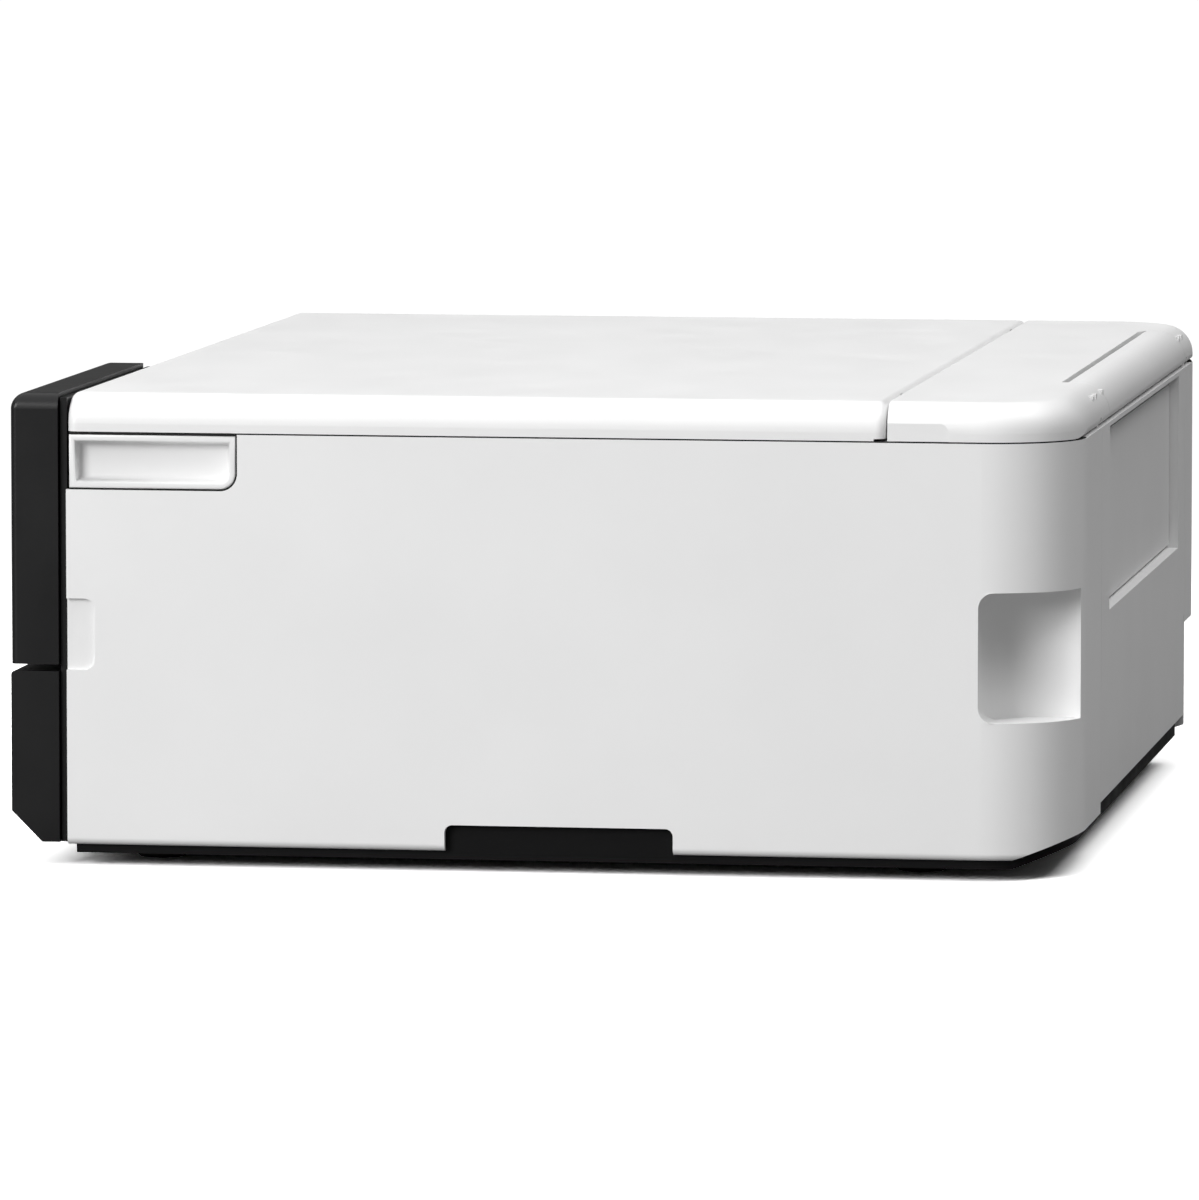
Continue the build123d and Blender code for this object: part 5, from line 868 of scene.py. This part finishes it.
light_gets = (0.22, 0.22, 0.22, 1.0)
eye_sees = (2.0, 2.0, 2.0, 1.0)
backdrop_starts_m = 0.35
backdrop_full_m = 1.1
floor_paper = bpy.data.materials.new("white_backdrop_paper")
floor_paper.use_nodes = True
floor_paper.node_tree.nodes.clear()
seen_straight = add_node(floor_paper, "ShaderNodeLightPath")
paper_tone = add_node(
    floor_paper,
    "ShaderNodeMix",
    settings=[("data_type", "RGBA")],
    values=[("A", light_gets), ("B", eye_sees)],
    links=[("Factor", seen_straight, "Is Camera Ray")],
)
paper_shader = add_node(floor_paper, "ShaderNodeBsdfDiffuse", links=[("Color", paper_tone, "Result")])
paper_place = add_node(floor_paper, "ShaderNodeTexCoord")
from_printer = add_node(
    floor_paper,
    "ShaderNodeVectorMath",
    settings=[("operation", "LENGTH")],
    links=[(0, paper_place, "Object")],
)
far_away = add_node(
    floor_paper,
    "ShaderNodeMapRange",
    settings=[("interpolation_type", "SMOOTHSTEP")],
    values=[("From Min", backdrop_starts_m), ("From Max", backdrop_full_m)],
    links=[("Value", from_printer, "Value")],
)
lit_backdrop = add_node(floor_paper, "ShaderNodeEmission", values=[("Strength", 1.05)])
far_and_seen = add_node(
    floor_paper,
    "ShaderNodeMath",
    settings=[("operation", "MULTIPLY")],
    links=[(0, far_away, "Result"), (1, seen_straight, "Is Camera Ray")],
)
paper_mix = add_node(
    floor_paper,
    "ShaderNodeMixShader",
    links=[("Fac", far_and_seen, "Value"), (1, paper_shader, "BSDF"), (2, lit_backdrop, "Emission")],
)
paper_side = add_node(floor_paper, "ShaderNodeNewGeometry")
open_below = add_node(floor_paper, "ShaderNodeBsdfTransparent")
one_sided = add_node(
    floor_paper,
    "ShaderNodeMixShader",
    links=[("Fac", paper_side, "Backfacing"), (1, paper_mix, "Shader"), (2, open_below, "BSDF")],
)
add_node(floor_paper, "ShaderNodeOutputMaterial", links=[("Surface", one_sided, "Shader")])
floor_mesh.materials.append(floor_paper)

# %% [markdown]
# ## Lights
# A product photo is lit by large soft boxes, so that the white casing has no hard shadow: one wide box
# above, one beside the camera and a weak one high behind that lifts the rear panel out of the dark.


# %% Lights
def soft_box(name, location, target, size, power):
    """A rectangular area light that points at target."""
    lamp = bpy.data.lights.new(name, "AREA")
    lamp.shape = "RECTANGLE"
    lamp.size, lamp.size_y = size
    lamp.energy = power
    holder = bpy.data.objects.new(name, lamp)
    bpy.context.scene.collection.objects.link(holder)
    holder.location = location
    holder.rotation_mode = "QUATERNION"
    holder.rotation_quaternion = (Vector(target) - Vector(location)).to_track_quat("-Z", "Y")


soft_box("top_box", (0.1, -0.1, 2.4), (0.0, 0.0, 0.1), (4.2, 4.2), 68.0)
soft_box("side_box", (2.6, -1.7, 1.3), (0.1, 0.0, 0.08), (1.5, 1.5), 78.0)
soft_box("back_box", (0.3, 1.6, 2.6), (0.1, 0.1, 0.08), (1.2, 1.2), 22.0)

# %% [markdown]
# ## The room
# The room itself is brighter on the front side than behind the printer, so the rear and the hollow of the
# hand grip fall into shade. The world shader takes the direction of each ray and mixes two greys by it.

# %% Room light
studio_world = bpy.data.worlds.new("studio_world")
bpy.context.scene.world = studio_world
studio_world.use_nodes = True
ray_direction = add_node(studio_world, "ShaderNodeTexCoord")
towards_front = add_node(
    studio_world,
    "ShaderNodeVectorMath",
    settings=[("operation", "DOT_PRODUCT")],
    links=[(0, ray_direction, "Generated")],
)
towards_front.inputs[1].default_value = (0.35, -0.90, 0.25)
room_share = add_node(
    studio_world,
    "ShaderNodeMapRange",
    values=[("From Min", -1.0), ("From Max", 1.0), ("To Min", 0.03), ("To Max", 0.32)],
    links=[("Value", towards_front, "Value")],
)
backdrop = studio_world.node_tree.nodes["Background"]
backdrop.inputs["Color"].default_value = (1.0, 1.0, 1.0, 1.0)
studio_world.node_tree.links.new(room_share.outputs["Result"], backdrop.inputs["Strength"])
bpy.context.scene.view_settings.view_transform = "Standard"
